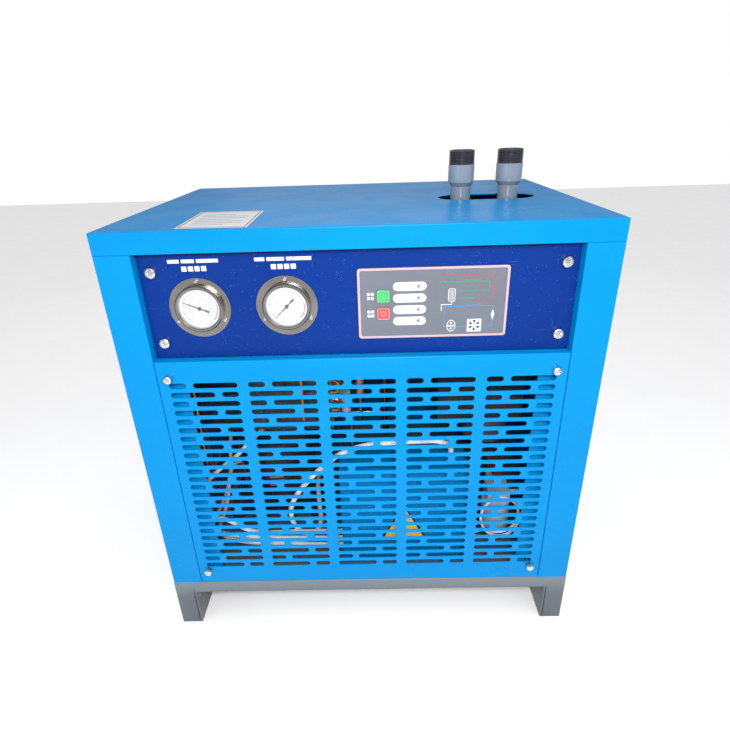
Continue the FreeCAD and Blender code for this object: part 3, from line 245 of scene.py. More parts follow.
def painted(name, colour, roughness=0.32, variation=0.05, peel=PAINT_PEEL, wear=0.25, coat=0.0, gloss=0.5,
            low_shade=0.0):
    """Powder coat: soft tone changes, orange peel, slightly worn edges and, where asked, painted shade towards
    the floor.
    """
    material, links, principled, add = shader(name)
    principled.inputs["Specular IOR Level"].default_value = gloss
    mapping, ramp = mottled(links, add, colour, variation, 6.0)
    worn(links, add, ramp, principled, colour, wear)
    # painted shade: darker towards the floor on the paints that ask for it
    if low_shade:
        darkened_low(links, add, principled, low_shade)
    roughened(links, add, principled, mapping, roughness * 0.85, roughness * 1.2, 14.0)
    principled.inputs["Coat Weight"].default_value = coat
    principled.inputs["Coat Roughness"].default_value = 0.12
    if peel:
        bumped(links, add, principled, mapping, PAINT_GRAIN, peel)
    return material


def dusted(name, colour):
    """Dark powder coat with fine pale dust and a few faint scratches."""
    material, links, principled, add = shader(name)
    principled.inputs["Specular IOR Level"].default_value = 0.12
    mapping, ramp = mottled(links, add, colour, 0.06, 6.0)
    roughened(links, add, principled, mapping, 0.30, 0.42, 14.0)
    specks = add("ShaderNodeTexVoronoi", Scale=330.0, Randomness=1.0)
    links.new(mapping.outputs["Vector"], specks.inputs["Vector"])
    rare = add("ShaderNodeTexNoise", Scale=90.0, Detail=2.0)
    links.new(mapping.outputs["Vector"], rare.inputs["Vector"])
    near = ranged(links, add, specks.outputs["Distance"], (0.20, 0.06), (0.0, 1.0))
    some = ranged(links, add, rare.outputs["Fac"], (0.52, 0.62), (0.0, 0.3))
    slant = add("ShaderNodeMapping")
    slant.inputs["Rotation"].default_value = (0, 0.5, 0)
    slant.inputs["Scale"].default_value = (22, 22, 420)
    links.new(mapping.outputs["Vector"], slant.inputs["Vector"])
    streak = add("ShaderNodeTexNoise", Scale=1.0, Detail=1.0)
    links.new(slant.outputs["Vector"], streak.inputs["Vector"])
    scratch = ranged(links, add, streak.outputs["Fac"], (0.76, 0.82), (0.0, 0.12))
    dust = computed(links, add, "MULTIPLY", near, some)
    marks = computed(links, add, "MAXIMUM", dust, scratch)
    tinted(links, add, principled, ramp.outputs["Color"], marks, (0.35, 0.50, 0.80, 1))
    bumped(links, add, principled, mapping, PAINT_GRAIN, PAINT_PEEL)
    return material


def metal(name, colour, roughness=0.25, variation=0.08, stretch=(1, 1, 1), relief=0.00001):
    """Bare metal with grain along one direction."""
    material, links, principled, add = shader(name)
    mapping, ramp = mottled(links, add, colour, variation, 40.0, stretch)
    links.new(ramp.outputs["Color"], principled.inputs["Base Color"])
    principled.inputs["Metallic"].default_value = 1.0
    roughened(links, add, principled, mapping, roughness * 0.7, roughness * 1.35, 60.0)
    bumped(links, add, principled, mapping, 900.0, relief)
    return material


def lathe_grain(links, add, principled, across, heights):
    """Tangents that run round the nearest of a grid of axes parallel to Y."""
    where = add("ShaderNodeTexCoord")
    split = add("ShaderNodeSeparateXYZ")
    links.new(where.outputs["Object"], split.inputs["Vector"])

    def combine(kind, first, second):
        return computed(links, add, kind, first, second)

    def from_nearest(output, centres):
        nearest = combine("ADD", centres[0], 0.0)
        for lower, upper in zip(centres, centres[1:]):
            passed = combine("GREATER_THAN", output, (lower + upper) / 2)
            nearest = combine("ADD", nearest, combine("MULTIPLY", passed, upper - lower))
        return combine("SUBTRACT", output, nearest)

    tangent = add("ShaderNodeCombineXYZ")
    links.new(combine("MULTIPLY", from_nearest(split.outputs["Z"], heights), -1.0), tangent.inputs["X"])
    links.new(from_nearest(split.outputs["X"], across), tangent.inputs["Z"])
    unit = add("ShaderNodeVectorMath")
    unit.operation = "NORMALIZE"
    links.new(tangent.outputs["Vector"], unit.inputs[0])
    links.new(unit.outputs["Vector"], principled.inputs["Tangent"])


def turned(name, colour, across, heights, roughness, anisotropy):
    """Lathe-turned or spun metal: rings round each axis give a bow-tie glint."""
    material, links, principled, add = shader(name)
    mapping, ramp = mottled(links, add, colour, 0.08, 60.0)
    links.new(ramp.outputs["Color"], principled.inputs["Base Color"])
    principled.inputs["Metallic"].default_value = 1.0
    principled.inputs["Anisotropic"].default_value = anisotropy
    roughened(links, add, principled, mapping, roughness * 0.85, roughness * 1.15, 200.0)
    lathe_grain(links, add, principled, across, heights)
    return material


def screw_steel():
    """Stainless of the front screws, turned round each screw's own axis."""
    heights = []
    for node, head in (("grille_screws", GRILLE_HEAD), ("control_panel_screws", PANEL_HEAD)):
        low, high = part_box(node)
        heights += [low.z + head, high.z - head]
        reach = high.x - head
    return turned("stainless", (0.66, 0.66, 0.67), [-reach, reach], heights, 0.27, 0.8)


def gauge_steel():
    """Spun steel of the two gauge bezels."""
    centres = [(sum(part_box(stem + "_bezel"), Vector())) / 2 for stem in ("refrigerant_gauge", "air_gauge")]
    across = [centre.x for centre in centres]
    return turned("polished_steel", (0.31, 0.29, 0.27), across, [centres[0].z], 0.20, 0.7)


def plastic(name, colour, roughness=0.4, variation=0.04, relief=0.00002):
    """Moulded plastic with a fine spark-eroded grain."""
    material, links, principled, add = shader(name)
    mapping, ramp = mottled(links, add, colour, variation, 30.0)
    links.new(ramp.outputs["Color"], principled.inputs["Base Color"])
    roughened(links, add, principled, mapping, roughness * 0.85, roughness * 1.15, 80.0)
    bumped(links, add, principled, mapping, 1500.0, relief)
    return material


def sheathing(name, colour):
    """Braided sleeve: diagonal waves over pale plastic."""
    material, links, principled, add = shader(name)
    mapping, ramp = mottled(links, add, colour, 0.08, 60.0)
    links.new(ramp.outputs["Color"], principled.inputs["Base Color"])
    principled.inputs["Roughness"].default_value = 0.35
    wave = add("ShaderNodeTexWave", Scale=260.0, Distortion=0.6)
    wave.bands_direction = "DIAGONAL"
    links.new(mapping.outputs["Vector"], wave.inputs["Vector"])
    raised(links, add, principled, wave.outputs["Fac"], 0.0003, strength=0.8)
    return material


def foamed(name, colour):
    """Closed-cell insulation with a pebbled skin."""
    material, links, principled, add = shader(name)
    mapping, ramp = mottled(links, add, colour, 0.25, 35.0)
    links.new(ramp.outputs["Color"], principled.inputs["Base Color"])
    roughened(links, add, principled, mapping, 0.7, 0.95, 120.0)
    cells = add("ShaderNodeTexVoronoi", Scale=420.0)
    links.new(mapping.outputs["Vector"], cells.inputs["Vector"])
    raised(links, add, principled, cells.outputs["Distance"], 0.0004, strength=0.7)
    return material


def glazed(name):
    """Thin clear gauge glass that lets the dial light through."""
    material, links, principled, add = shader(name)
    mapping, ramp = mottled(links, add, (0.96, 0.98, 0.99), 0.02, 20.0)
    links.new(ramp.outputs["Color"], principled.inputs["Base Color"])
    roughened(links, add, principled, mapping, 0.02, 0.06, 30.0)
    principled.inputs["Alpha"].default_value = 0.05
    principled.inputs["IOR"].default_value = 1.45
    return material


def make_materials():
    """One finished material for each slot of the record, and rust for the weld spot."""
    return {
        "blue_paint": painted("blue_paint", (0.0, 0.185, 0.46), roughness=0.30, wear=0.10, gloss=0.10),
        "navy_paint": dusted("navy_paint", (0.0005, 0.023, 0.175)),
        # the base's grey paint carries painted shade towards the floor
        "grey_paint": painted("grey_paint", (0.092, 0.108, 0.122), roughness=0.42, variation=0.12, wear=0.5,
                              low_shade=0.5),
        "pipe_paint": painted("pipe_paint", (0.150, 0.185, 0.235), roughness=0.17, variation=0.10, coat=0.8),
        "black_steel": painted("black_steel", (0.030, 0.030, 0.038), roughness=0.28, variation=0.2, wear=0.5,
                               coat=0.5),
        "stainless": screw_steel(),
        "polished_steel": gauge_steel(),
        "dial_white": plastic("dial_white", (0.50, 0.52, 0.545), roughness=0.45, variation=0.015),
        "needle_black": painted("needle_black", (0.008, 0.008, 0.010), roughness=0.5, wear=0.0, gloss=0.2),
        "clear_glass": glazed("clear_glass"),
        "panel_grey": plastic("panel_grey", (0.115, 0.125, 0.155), roughness=0.36),
        "key_green": plastic("key_green", (0.045, 0.38, 0.11), roughness=0.35),
        "key_red": plastic("key_red", (0.47, 0.065, 0.072), roughness=0.35),
        "lamp_grey": plastic("lamp_grey", (0.21, 0.23, 0.21), roughness=0.25),
        "black_plastic": plastic("black_plastic", (0.02, 0.02, 0.022), roughness=0.5),
        "grey_plastic": plastic("grey_plastic", (0.50, 0.53, 0.56), roughness=0.3),
        "black_rubber": plastic("black_rubber", (0.014, 0.014, 0.014), roughness=0.75, relief=0.00008),
        "foam": foamed("foam", (0.035, 0.038, 0.045)),
        "iron": metal("iron", (0.20, 0.19, 0.18), roughness=0.6, relief=0.0001),
        "fins": metal("fins", (0.55, 0.57, 0.60), roughness=0.35, stretch=(1, 1, 0.05)),
        "galvanised": metal("galvanised", (0.52, 0.55, 0.57), roughness=0.4, variation=0.15),
        "cast_aluminium": metal("cast_aluminium", (0.60, 0.61, 0.62), roughness=0.45, relief=0.00005),
        "brass_fitting": metal("brass_fitting", (0.78, 0.58, 0.24), roughness=0.25),
        "copper": metal("copper", (0.80, 0.36, 0.20), roughness=0.28, variation=0.15),
        "lever_red": painted("lever_red", (0.22, 0.012, 0.010), roughness=0.4),
        "white_sheath": sheathing("white_sheath", (0.96, 0.97, 0.98)),
        "rust": metal("rust", (0.50, 0.42, 0.35), roughness=0.6, variation=0.3, relief=0.0002),
    }


MATERIALS = make_materials()
INK = {
    "white": plastic("ink_white", (0.56, 0.57, 0.58), roughness=0.45),
    "pink": plastic("ink_pink", (0.45, 0.315, 0.35), roughness=0.4),
    "red": plastic("ink_red", (0.33, 0.060, 0.075), roughness=0.4),
    "green": plastic("ink_green", (0.038, 0.25, 0.09), roughness=0.4),
    "blue": plastic("ink_blue", (0.033, 0.205, 0.38), roughness=0.4),
    "black": plastic("ink_black", (0.015, 0.015, 0.02), roughness=0.4),
    "yellow": plastic("ink_yellow", (0.80, 0.56, 0.02), roughness=0.35),
    "grey": plastic("ink_grey", (0.30, 0.32, 0.37), roughness=0.4),
    "faint": plastic("ink_faint", (0.44, 0.44, 0.42), roughness=0.4),
    "mint": plastic("ink_mint", (0.16, 0.43, 0.22), roughness=0.4),
    "rose": plastic("ink_rose", (0.50, 0.25, 0.26), roughness=0.4),
}


def dress_frame():
    """Give every CAD node the material of its slot."""
    for part in frame["record"]["subparts"]:
        node = frame["nodes"][part["node"]]
        material = MATERIALS[part["material_slot"]]
        if not node.material_slots:
            node.data.materials.append(material)
        for holder in node.material_slots:
            holder.material = material


# ---------------------------------------------------------------- mesh helpers

def finish_piece(name, mesh, material, body=CABINET, smooth=None):
    """Link a finished mesh, dress it and let it ride on its body."""
    mesh.name = name
    piece = bpy.data.objects.new(name, mesh)
    bpy.context.scene.collection.objects.link(piece)
    mesh.materials.append(material)
    if smooth is not None:
        for face in mesh.polygons:
            face.use_smooth = True
        mesh.set_sharp_from_angle(angle=smooth)
    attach(piece, body)
    return piece


def mesh_of(builder):
    """Closed, outward-facing mesh from a bmesh, which it frees."""
    bmesh.ops.recalc_face_normals(builder, faces=builder.faces)
    mesh = bpy.data.meshes.new("piece")
    builder.to_mesh(mesh)
    builder.free()
    return mesh


def add_prism(builder, outline, depth, lay):
    """Extrude a 2-D outline by depth; lay turns (across, up, out) into a point."""
    count = len(outline)
    back = [builder.verts.new(lay(x, y, 0)) for x, y in outline]
    front = [builder.verts.new(lay(x, y, depth)) for x, y in outline]
    builder.faces.new(list(reversed(back)))
    builder.faces.new(front)
    for index in range(count):
        following = (index + 1) % count
        builder.faces.new((back[index], back[following], front[following], front[index]))


def add_ring(builder, outer, inner, depth, lay):
    """Extrude the band between two outlines with the same number of points."""
    count = len(outer)
    rims = []
    for outline in (outer, inner):
        rims.append([builder.verts.new(lay(x, y, 0)) for x, y in outline])
        rims.append([builder.verts.new(lay(x, y, depth)) for x, y in outline])
    outer_back, outer_front, inner_back, inner_front = rims
    for here in range(count):
        ahead = (here + 1) % count
        builder.faces.new((outer_back[here], outer_back[ahead], outer_front[ahead], outer_front[here]))
        builder.faces.new((inner_back[ahead], inner_back[here], inner_front[here], inner_front[ahead]))
        builder.faces.new((outer_front[here], outer_front[ahead], inner_front[ahead], inner_front[here]))
        builder.faces.new((outer_back[ahead], outer_back[here], inner_back[here], inner_back[ahead]))


def rounded(x0, y0, x1, y1, radius):
    """Outline of a rectangle with round corners."""
    steps = 6
    points = []
    corners = ((x1 - radius, y1 - radius, 0), (x0 + radius, y1 - radius, 90),
               (x0 + radius, y0 + radius, 180), (x1 - radius, y0 + radius, 270))
    for x, y, start in corners:
        for step in range(steps + 1):
            angle = math.radians(start + 90 * step / steps)
            points.append((x + radius * math.cos(angle), y + radius * math.sin(angle)))
    return points


def disc(x, y, radius, steps=32):
    """Outline of a circle."""
    turns = [2 * math.pi * step / steps for step in range(steps)]
    return [(x + radius * math.cos(turn), y + radius * math.sin(turn)) for turn in turns]


def facing(surface):
    """Lay for artwork in millimetres on a front face at y = surface."""
    def lay(x, z, out):
        return (x * MM, surface - out * MM, z * MM)
    return lay


def add_ribbon(builder, points, width, depth, lay):
    """Printed line of one width with mitred corners."""
    sharpest = 0.4
    sides = []
    for index, point in enumerate(points):
        here = Vector(point)
        before = (here - Vector(points[index - 1])).normalized() if index else None
        after = (Vector(points[index + 1]) - here).normalized() if index < len(points) - 1 else None
        along = ((before or after) + (after or before)).normalized()
        square = Vector((-along.y, along.x))
        straight = after or before
        spread = width / 2 / max(sharpest, square.dot(Vector((-straight.y, straight.x))))
        sides.append((here + square * spread, here - square * spread))
    outline = [tuple(left) for left, right in sides] + [tuple(right) for left, right in reversed(sides)]
    count = len(points)
    last = 2 * count - 1
    back = [builder.verts.new(lay(x, y, 0)) for x, y in outline]
    front = [builder.verts.new(lay(x, y, depth)) for x, y in outline]
    for index in range(count - 1):
        left, right = index, last - index
        builder.faces.new((front[left], front[left + 1], front[right - 1], front[right]))
        builder.faces.new((back[right], back[right - 1], back[left + 1], back[left]))
    for index in range(2 * count):
        following = (index + 1) % (2 * count)
        builder.faces.new((back[index], back[following], front[following], front[index]))


def tube_piece(name, points, radius, material):
    """Round tube along a smooth line led by its points."""
    curve = bpy.data.curves.new(name, "CURVE")
    curve.dimensions = "3D"
    curve.bevel_depth = radius
    curve.bevel_resolution = 4
    curve.use_fill_caps = True
    curve.resolution_u = 10
    spline = curve.splines.new("NURBS")
    spline.points.add(len(points) - 1)
    for point, place in zip(spline.points, points):
        point.co = (*place, 1)
    spline.order_u = 3
    spline.use_endpoint_u = True
    holder = bpy.data.objects.new(name + "_curve", curve)
    bpy.context.scene.collection.objects.link(holder)
    bpy.context.view_layer.update()
    mesh = bpy.data.meshes.new_from_object(holder.evaluated_get(bpy.context.evaluated_depsgraph_get()))
    bpy.data.objects.remove(holder)
    bpy.data.curves.remove(curve)
    mesh.materials.clear()
    finish_piece(name, mesh, material, smooth=math.radians(50))


def lathe(builder, profile, lay, steps=64):
    """Solid of revolution; its (radius, height) pairs end on the axis or close on themselves."""
    rings = []
    for radius, height in profile:
        if radius == 0:
            rings.append([builder.verts.new(lay(0, 0, height))])
            continue
        ring = []
        for step in range(steps):
            angle = 2 * math.pi * step / steps
            ring.append(builder.verts.new(lay(radius * math.cos(angle), radius * math.sin(angle), height)))
        rings.append(ring)
    pairs = list(zip(rings, rings[1:]))
    if len(rings[0]) > 1:
        pairs.append((rings[-1], rings[0]))
    for low, high in pairs:
        for step in range(steps):
            following = (step + 1) % steps
            if len(low) == 1:
                builder.faces.new((low[0], high[step], high[following]))
            elif len(high) == 1:
                builder.faces.new((low[step], low[following], high[0]))
            else:
                builder.faces.new((low[step], low[following], high[following], high[step]))


def centre_of(node):
    """Middle of a CAD node's box."""
    low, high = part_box(node)
    return (low + high) / 2


# ---------------------------------------------------------------- gauges

def make_dial_print(stem):
    """Two scales with ticks, numerals and a red limit mark on a white dial."""
    centre = centre_of(stem + "_dial")
    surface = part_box(stem + "_dial")[0].y

    def lay(x, z, out):
        return (centre.x + x * MM, surface - out * MM, centre.z + z * MM)

    def radial(angle, radius):
        lean = math.radians(225 - angle)
        return (radius * math.cos(lean), radius * math.sin(lean))

    builder = bmesh.new()
    sweep, steps = 270, 60
    outer_marks, inner_marks = 50, 40
    for index in range(outer_marks + 1):
        angle = sweep * index / outer_marks
        start, width = (21.4, 0.22) if index % 5 else (19.6, 0.45)
        add_ribbon(builder, [radial(angle, start), radial(angle, 23.6)], width, PRINT_SKIN, lay)
    for index in range(inner_marks + 1):
        angle = sweep * index / inner_marks
        start = 13.4 if index % 4 else 12.6
        add_ribbon(builder, [radial(angle, start), radial(angle, 14.8)], 0.25, PRINT_SKIN, lay)
    for radius in (24.0, 15.0):
        arc = [radial(sweep * step / steps, radius) for step in range(steps + 1)]
        add_ribbon(builder, arc, 0.32, PRINT_SKIN, lay)
    finish_piece(stem + "_scale", mesh_of(builder), INK["black"])

    builder = bmesh.new()
    limit_start, limit_steps = 216, 16
    share = (sweep - limit_start) / limit_steps
    arc = [radial(limit_start + share * step, 25.1) for step in range(limit_steps + 1)]
    add_ribbon(builder, arc, 1.1, PRINT_SKIN, lay)
    finish_piece(stem + "_limit", mesh_of(builder), INK["red"])

    numerals = []
    last = 5
    for index in range(last + 1):
        x, z = radial(sweep * index / last, 17.2)
        text = bpy.data.curves.new("numeral", "FONT")
        text.body = str(index * 4)
        text.size = 3.3 * MM
        text.align_x = "CENTER"
        text.align_y = "CENTER"
        text.extrude = PRINT_SKIN / 2 * MM
        holder = bpy.data.objects.new("numeral", text)
        bpy.context.scene.collection.objects.link(holder)
        upright = Matrix.Rotation(math.pi / 2, 4, "X")
        holder.matrix_world = Matrix.Translation(lay(x, z, PRINT_SKIN / 2)) @ upright
        bpy.context.view_layer.update()
        mesh = bpy.data.meshes.new_from_object(holder.evaluated_get(bpy.context.evaluated_depsgraph_get()))
        mesh.transform(holder.matrix_world)
        bpy.data.objects.remove(holder)
        numerals.append(mesh)
    builder = bmesh.new()
    for mesh in numerals:
        builder.from_mesh(mesh)
    bmesh.ops.remove_doubles(builder, verts=builder.verts, dist=1e-7)
    finish_piece(stem + "_numerals", mesh_of(builder), INK["black"])


def make_gauge_captions():
    """Plain white blocks in two rows above each gauge, where the captions would be."""
    lay = facing(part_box("control_panel")[0].y)
    builder = bmesh.new()
    space = 2.6
    for stem, words in (("refrigerant_gauge", (16, 18, 30)), ("air_gauge", (14, 24, 34))):
        centre = centre_of(stem + "_dial") / MM
        x = centre.x - (sum(words) + 2 * space) / 2
        for width in words:
            add_prism(builder, rounded(x, centre.z + 63.5, x + width, centre.z + 68.5, 0.8), 0.1, lay)
            x += width + space
        for index in range(4):
            left = centre.x - 17 + index * 9
            add_prism(builder, rounded(left, centre.z + 52, left + 7, centre.z + 59, 0.8), 0.1, lay)
    finish_piece("gauge_captions", mesh_of(builder), INK["white"])


# ---------------------------------------------------------------- controller artwork

def zigzag(x0, x1, z, swing, teeth):
    """Points of a heat-exchanger symbol between two x positions."""
    step = (x1 - x0) / (2 * teeth)
    points = [(x0, z)]
    for index in range(2 * teeth - 1):
        points.append((x0 + (index + 1) * step, z + (swing if index % 2 == 0 else -swing)))
    points.append((x1, z))
    return points


def make_controller_print():
    """Border, lamp plates, key captions and symbols, and the flow diagram, on the grey face."""
    low, high = (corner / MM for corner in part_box("controller_face"))
    left, right, bottom, top = low.x, high.x, low.z, high.z
    lay = facing(low.y * MM)
    skin = 0.12
    band = 3.4

    builder = bmesh.new()
    inset = 0.4
    outer = rounded(left + inset, bottom + inset, right - inset, top - inset, 4)
    inner = rounded(left + band, bottom + band, right - band, top - band, 3)
    add_ring(builder, outer, inner, skin, lay)
    finish_piece("controller_border", mesh_of(builder), INK["pink"])

    lamp_low, lamp_high = (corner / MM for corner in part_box("status_lamps"))
    lamp_x = (lamp_low.x + lamp_high.x) / 2
    lamp_radius = (lamp_high.x - lamp_low.x) / 2
    pitch = (lamp_high.z - lamp_low.z - 2 * lamp_radius) / 3
    plates = bmesh.new()
    words = bmesh.new()
    half = 6.2
    for index in range(4):
        level = lamp_high.z - lamp_radius - index * pitch
        plate = rounded(lamp_x - 35, level - half, lamp_x + 11, level + half, half - 0.05)
        add_prism(plates, plate, skin, lay)
        for square in range(4):
            start = lamp_x - 26 + square * 5
            add_prism(words, rounded(start, level - 1.9, start + 3.8, level + 1.9, 0.4), 1.4 * skin, lay)
    finish_piece("lamp_plates", mesh_of(plates), INK["white"])
    finish_piece("lamp_plate_bars", mesh_of(words), INK["faint"])

    builder = bmesh.new()
    side = 4.0
    for key in ("start_key", "stop_key"):
        middle = centre_of(key) / MM
        for row in (-5.0, 1.0):
            for start in (-22.4, -17.2):
                x, z = middle.x + start, middle.z + row
                add_prism(builder, rounded(x, z, x + side, z + side, 0.4), skin, lay)
    finish_piece("key_captions", mesh_of(builder), INK["white"])
    make_key_symbols(skin)
    make_flow_diagram(left, bottom, skin, lay)


def make_key_symbols(skin):
    """Pale rims on both keys, a faint bar on the start key and a faint ring on the stop key."""
    for key, ink, body in (("start_key", "mint", "start_button"), ("stop_key", "rose", "stop_button")):
        low, high = (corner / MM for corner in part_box(key))
        lay = facing(low.y * MM)
        x = (low.x + high.x) / 2
        z = (low.z + high.z) / 2
        reach = (high.z - low.z) / 2 - 1.2
        hole = reach - 0.8
        builder = bmesh.new()
        add_ring(builder, rounded(x - reach, z - reach, x + reach, z + reach, 2.4),
                 rounded(x - hole, z - hole, x + hole, z + hole, 1.7), skin, lay)
        if key == "start_key":
            add_prism(builder, rounded(x - 0.6, z - 3.6, x + 0.6, z + 3.6, 0.5), skin, lay)
        else:
            add_ring(builder, disc(x, z, 3.9), disc(x, z, 3.0), skin, lay)
        finish_piece(key + "_marks", mesh_of(builder), INK[ink], body)


def make_flow_diagram(left, bottom, skin, lay):
    """Air, condensate and refrigerant paths, in millimetres from the face's lower left corner."""
    def at(points):
        return [(left + x, bottom + z) for x, z in points]

    def draw(name, colour, lines, width):
        builder = bmesh.new()
        for line in lines:
            add_ribbon(builder, at(line), width, skin, lay)
        finish_piece(name, mesh_of(builder), INK[colour])

    warm = [[(115, 91), (146, 91)] + zigzag(149, 169, 89, 1.6, 5) + [(173, 91), (188, 91), (188, 57), (176, 57)]
            + zigzag(176, 164, 56, 1.6, 3)]
    draw("diagram_warm_air", "red", warm, 1.0)
    cool = [[(116, 80), (146, 80)] + zigzag(149, 169, 81, 1.6, 5) + [(173, 80), (181, 80), (181, 67), (136, 67)],
            [(136, 57), (147, 57)] + zigzag(148, 163, 57, 1.6, 4)]
    draw("diagram_dry_air", "green", cool, 1.0)
    cold = [[(125, 15), (120, 15), (120, 45), (146, 45)] + zigzag(149, 169, 46, 1.6, 5)
            + [(173, 45), (188, 45), (188, 40)], [(188, 24), (188, 15), (174, 15)], [(152, 15), (136, 15)]]
    draw("diagram_refrigerant", "blue", cold, 1.0)
    builder = bmesh.new()
    add_prism(builder, at([(117, 82.4), (111.5, 80), (117, 77.6)]), skin, lay)
    finish_piece("diagram_arrow", mesh_of(builder), INK["green"])

    white = bmesh.new()
    add_ring(white, at(rounded(125, 52, 135, 71, 3)), at(rounded(125.8, 52.8, 134.2, 70.2, 2.4)), skin, lay)
    for across in (127.4, 129.1, 130.9, 132.6):
        add_ribbon(white, at([(across, 54), (across, 69)]), 0.6, skin, lay)
    add_ribbon(white, at([(130, 52), (130, 48), (116, 48), (116, 39)]), 1.0, skin, lay)
    add_prism(white, at([(188, 24), (190.4, 32), (188, 40), (185.6, 32)]), 2 * skin, lay)
    add_prism(white, at(rounded(153, 7, 173, 26, 1)), skin, lay)

    def oval(reach, rise):
        return [(130.5 + reach * math.cos(a), 16.5 + rise * math.sin(a))
                for a in (2 * math.pi * k / 40 for k in range(40))]

    add_ring(white, at(oval(6.2, 8.6)), at(oval(5.2, 7.6)), skin, lay)
    add_ribbon(white, at([(125.5, 16.5), (135.5, 16.5)]), 2.0, skin, lay)
    for lift in (-4.0, 4.0):
        add_prism(white, at(disc(130.5, 16.5 + lift, 1.5, 24)), skin, lay)
    finish_piece("diagram_symbols", mesh_of(white), INK["white"])

    blades = bmesh.new()
    middle = Vector((163, 16.75))
    for index in range(6):
        turn = math.radians(60 * index + 30)
        ahead = Vector((math.cos(turn), math.sin(turn)))
        side = Vector((-ahead.y, ahead.x))
        outline = [middle + ahead * 2.4, middle + ahead * 7.6 + side * 2.2, middle + ahead * 7.6 - side * 2.2]
        add_prism(blades, at([tuple(point) for point in reversed(outline)]), 2 * skin, lay)
    finish_piece("diagram_fan", mesh_of(blades), INK["black"])


# ---------------------------------------------------------------- front box and lid

def make_box_marker():
    """Plain yellow triangle with a dark edge on the electrical box, with no sign in it."""
    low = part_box("electrical_box_cover")[0] / MM
    screw_head = 1.6
    lay = facing((low.y + screw_head) * MM)
    x = low.x + 110
    base = low.z + 54
    half, tall = 41, 79
    corners = [(x - half, base), (x + half, base), (x, base + tall)]
    builder = bmesh.new()
    add_prism(builder, corners, 0.3, lay)
    finish_piece("marker_edge", mesh_of(builder), INK["black"])
    builder = bmesh.new()
    middle = Vector((x, base + 26))
    field_share = 0.86
    field = [tuple(middle + (Vector(corner) - middle) * field_share) for corner in corners]
    add_prism(builder, field, 0.5, lay)
    finish_piece("marker_field", mesh_of(builder), INK["yellow"])


def make_lid_label():
    """Blank white label with a red border and plain grey bars, lying on the lid."""
    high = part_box("top_cover")[1]

    sunk = 0.18

    def lay(x, y, out):
        return (x * MM, y * MM, high.z + (out - sunk) * MM)

    def inset(corners, share):
        middle = sum((Vector(corner) for corner in corners), Vector((0, 0))) / 4
        return [tuple(middle + (Vector(corner) - middle) * share) for corner in corners]

    def within(u, v):
        low = Vector(corners[0]).lerp(Vector(corners[3]), u)
        far = Vector(corners[1]).lerp(Vector(corners[2]), u)
        return tuple(low.lerp(far, v))

    corners = [(-240, -236), (-244, -96), (-146, -99), (-143, -239)]
    builder = bmesh.new()
    add_prism(builder, corners, 0.19, lay)
    finish_piece("lid_label", mesh_of(builder), INK["white"])
    builder = bmesh.new()
    add_ring(builder, inset(corners, 0.94), inset(corners, 0.90), 0.20, lay)
    finish_piece("lid_label_border", mesh_of(builder), INK["red"])
    builder = bmesh.new()
    for row in range(7):
        v = 0.16 + row * 0.10
        reach = 0.84 if row % 3 else 0.62
        outline = [within(0.14, v), within(0.14, v + 0.032), within(reach, v + 0.032), within(reach, v)]
        add_prism(builder, outline, 0.20, lay)
    finish_piece("lid_label_bars", mesh_of(builder), INK["grey"])


def make_weld_spot():
    """Rough pale weld on the inner face of the left skid, just under the front beam."""
    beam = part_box("front_beam")[0]
    builder = bmesh.new()
    random.seed(7)
    for _ in range(6):
        radius = 0.0014 + 0.0010 * random.random()
        y = beam.y + 0.010 + 0.004 * random.random()
        z = beam.z - 0.020 + 0.005 * random.random()
        place = Vector((beam.x, y, z))
        shape = Matrix.Translation(place) @ Matrix.Diagonal((0.4, 1.0, 1.2, 1))
        bmesh.ops.create_icosphere(builder, subdivisions=2, radius=radius, matrix=shape)
    finish_piece("weld_spot", mesh_of(builder), MATERIALS["rust"], smooth=math.radians(60))


# ---------------------------------------------------------------- parts behind the grille

def make_compressor_details():
    """Weld seam round the compressor's shell and three plain bars in place of its rating plate."""
    low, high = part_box("compressor_shell")
    centre = centre_of("compressor_pump")
    radius = centre.y - low.y
    seam_z = low.z + 0.62 * (high.z - low.z)
    seam_out, seam_up = 0.0007, 0.0016

    def lay(across, ahead, up):
        return (centre.x + across, centre.y + ahead, seam_z + up)

    bead = [math.pi * k / 4 for k in range(8)]
    builder = bmesh.new()
    lathe(builder, [(radius + seam_out * math.cos(a), seam_up * math.sin(a)) for a in bead], lay, steps=96)
    finish_piece("compressor_seam", mesh_of(builder), MATERIALS["black_steel"],
                 smooth=math.radians(60))

    def wrap(angle, z, out):
        reach = radius + 0.0001 + out
        return (centre.x + reach * math.cos(angle), centre.y + reach * math.sin(angle), z)

    step = 0.045
    first = -math.pi / 2 - 4 * step + 0.1
    bar_height = 0.004
    builder = bmesh.new()
    for row in range(3):
        z = seam_z - 0.020 - row * 0.009
        for index in range(8):
            angle = first + index * step
            outline = [(angle, z), (angle + step, z), (angle + step, z + bar_height), (angle, z + bar_height)]
            add_prism(builder, outline, 0.0005, wrap)
    finish_piece("compressor_plate", mesh_of(builder), INK["grey"])


def make_jacket_tape():
    """Bands of black tape across the front of the foam jacket."""
    low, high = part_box("exchanger_jacket")
    builder = bmesh.new()
    count = 4
    skin = 0.0006
    width = 0.024
    left, right = low.x + skin, high.x - skin
    front, back = low.y - skin * 0.5, low.y + skin
    outline = [(left, front), (right, front), (right, back), (left, back)]
    for index in range(count):
        z = low.z + (index + 0.7) * (high.z - low.z) / (count + 0.4)

        def lay(x, y, up, z=z):
            return (x, y, z + up)

        add_prism(builder, outline, width, lay)
    finish_piece("jacket_tape", mesh_of(builder), MATERIALS["black_plastic"])


# ---------------------------------------------------------------- condenser

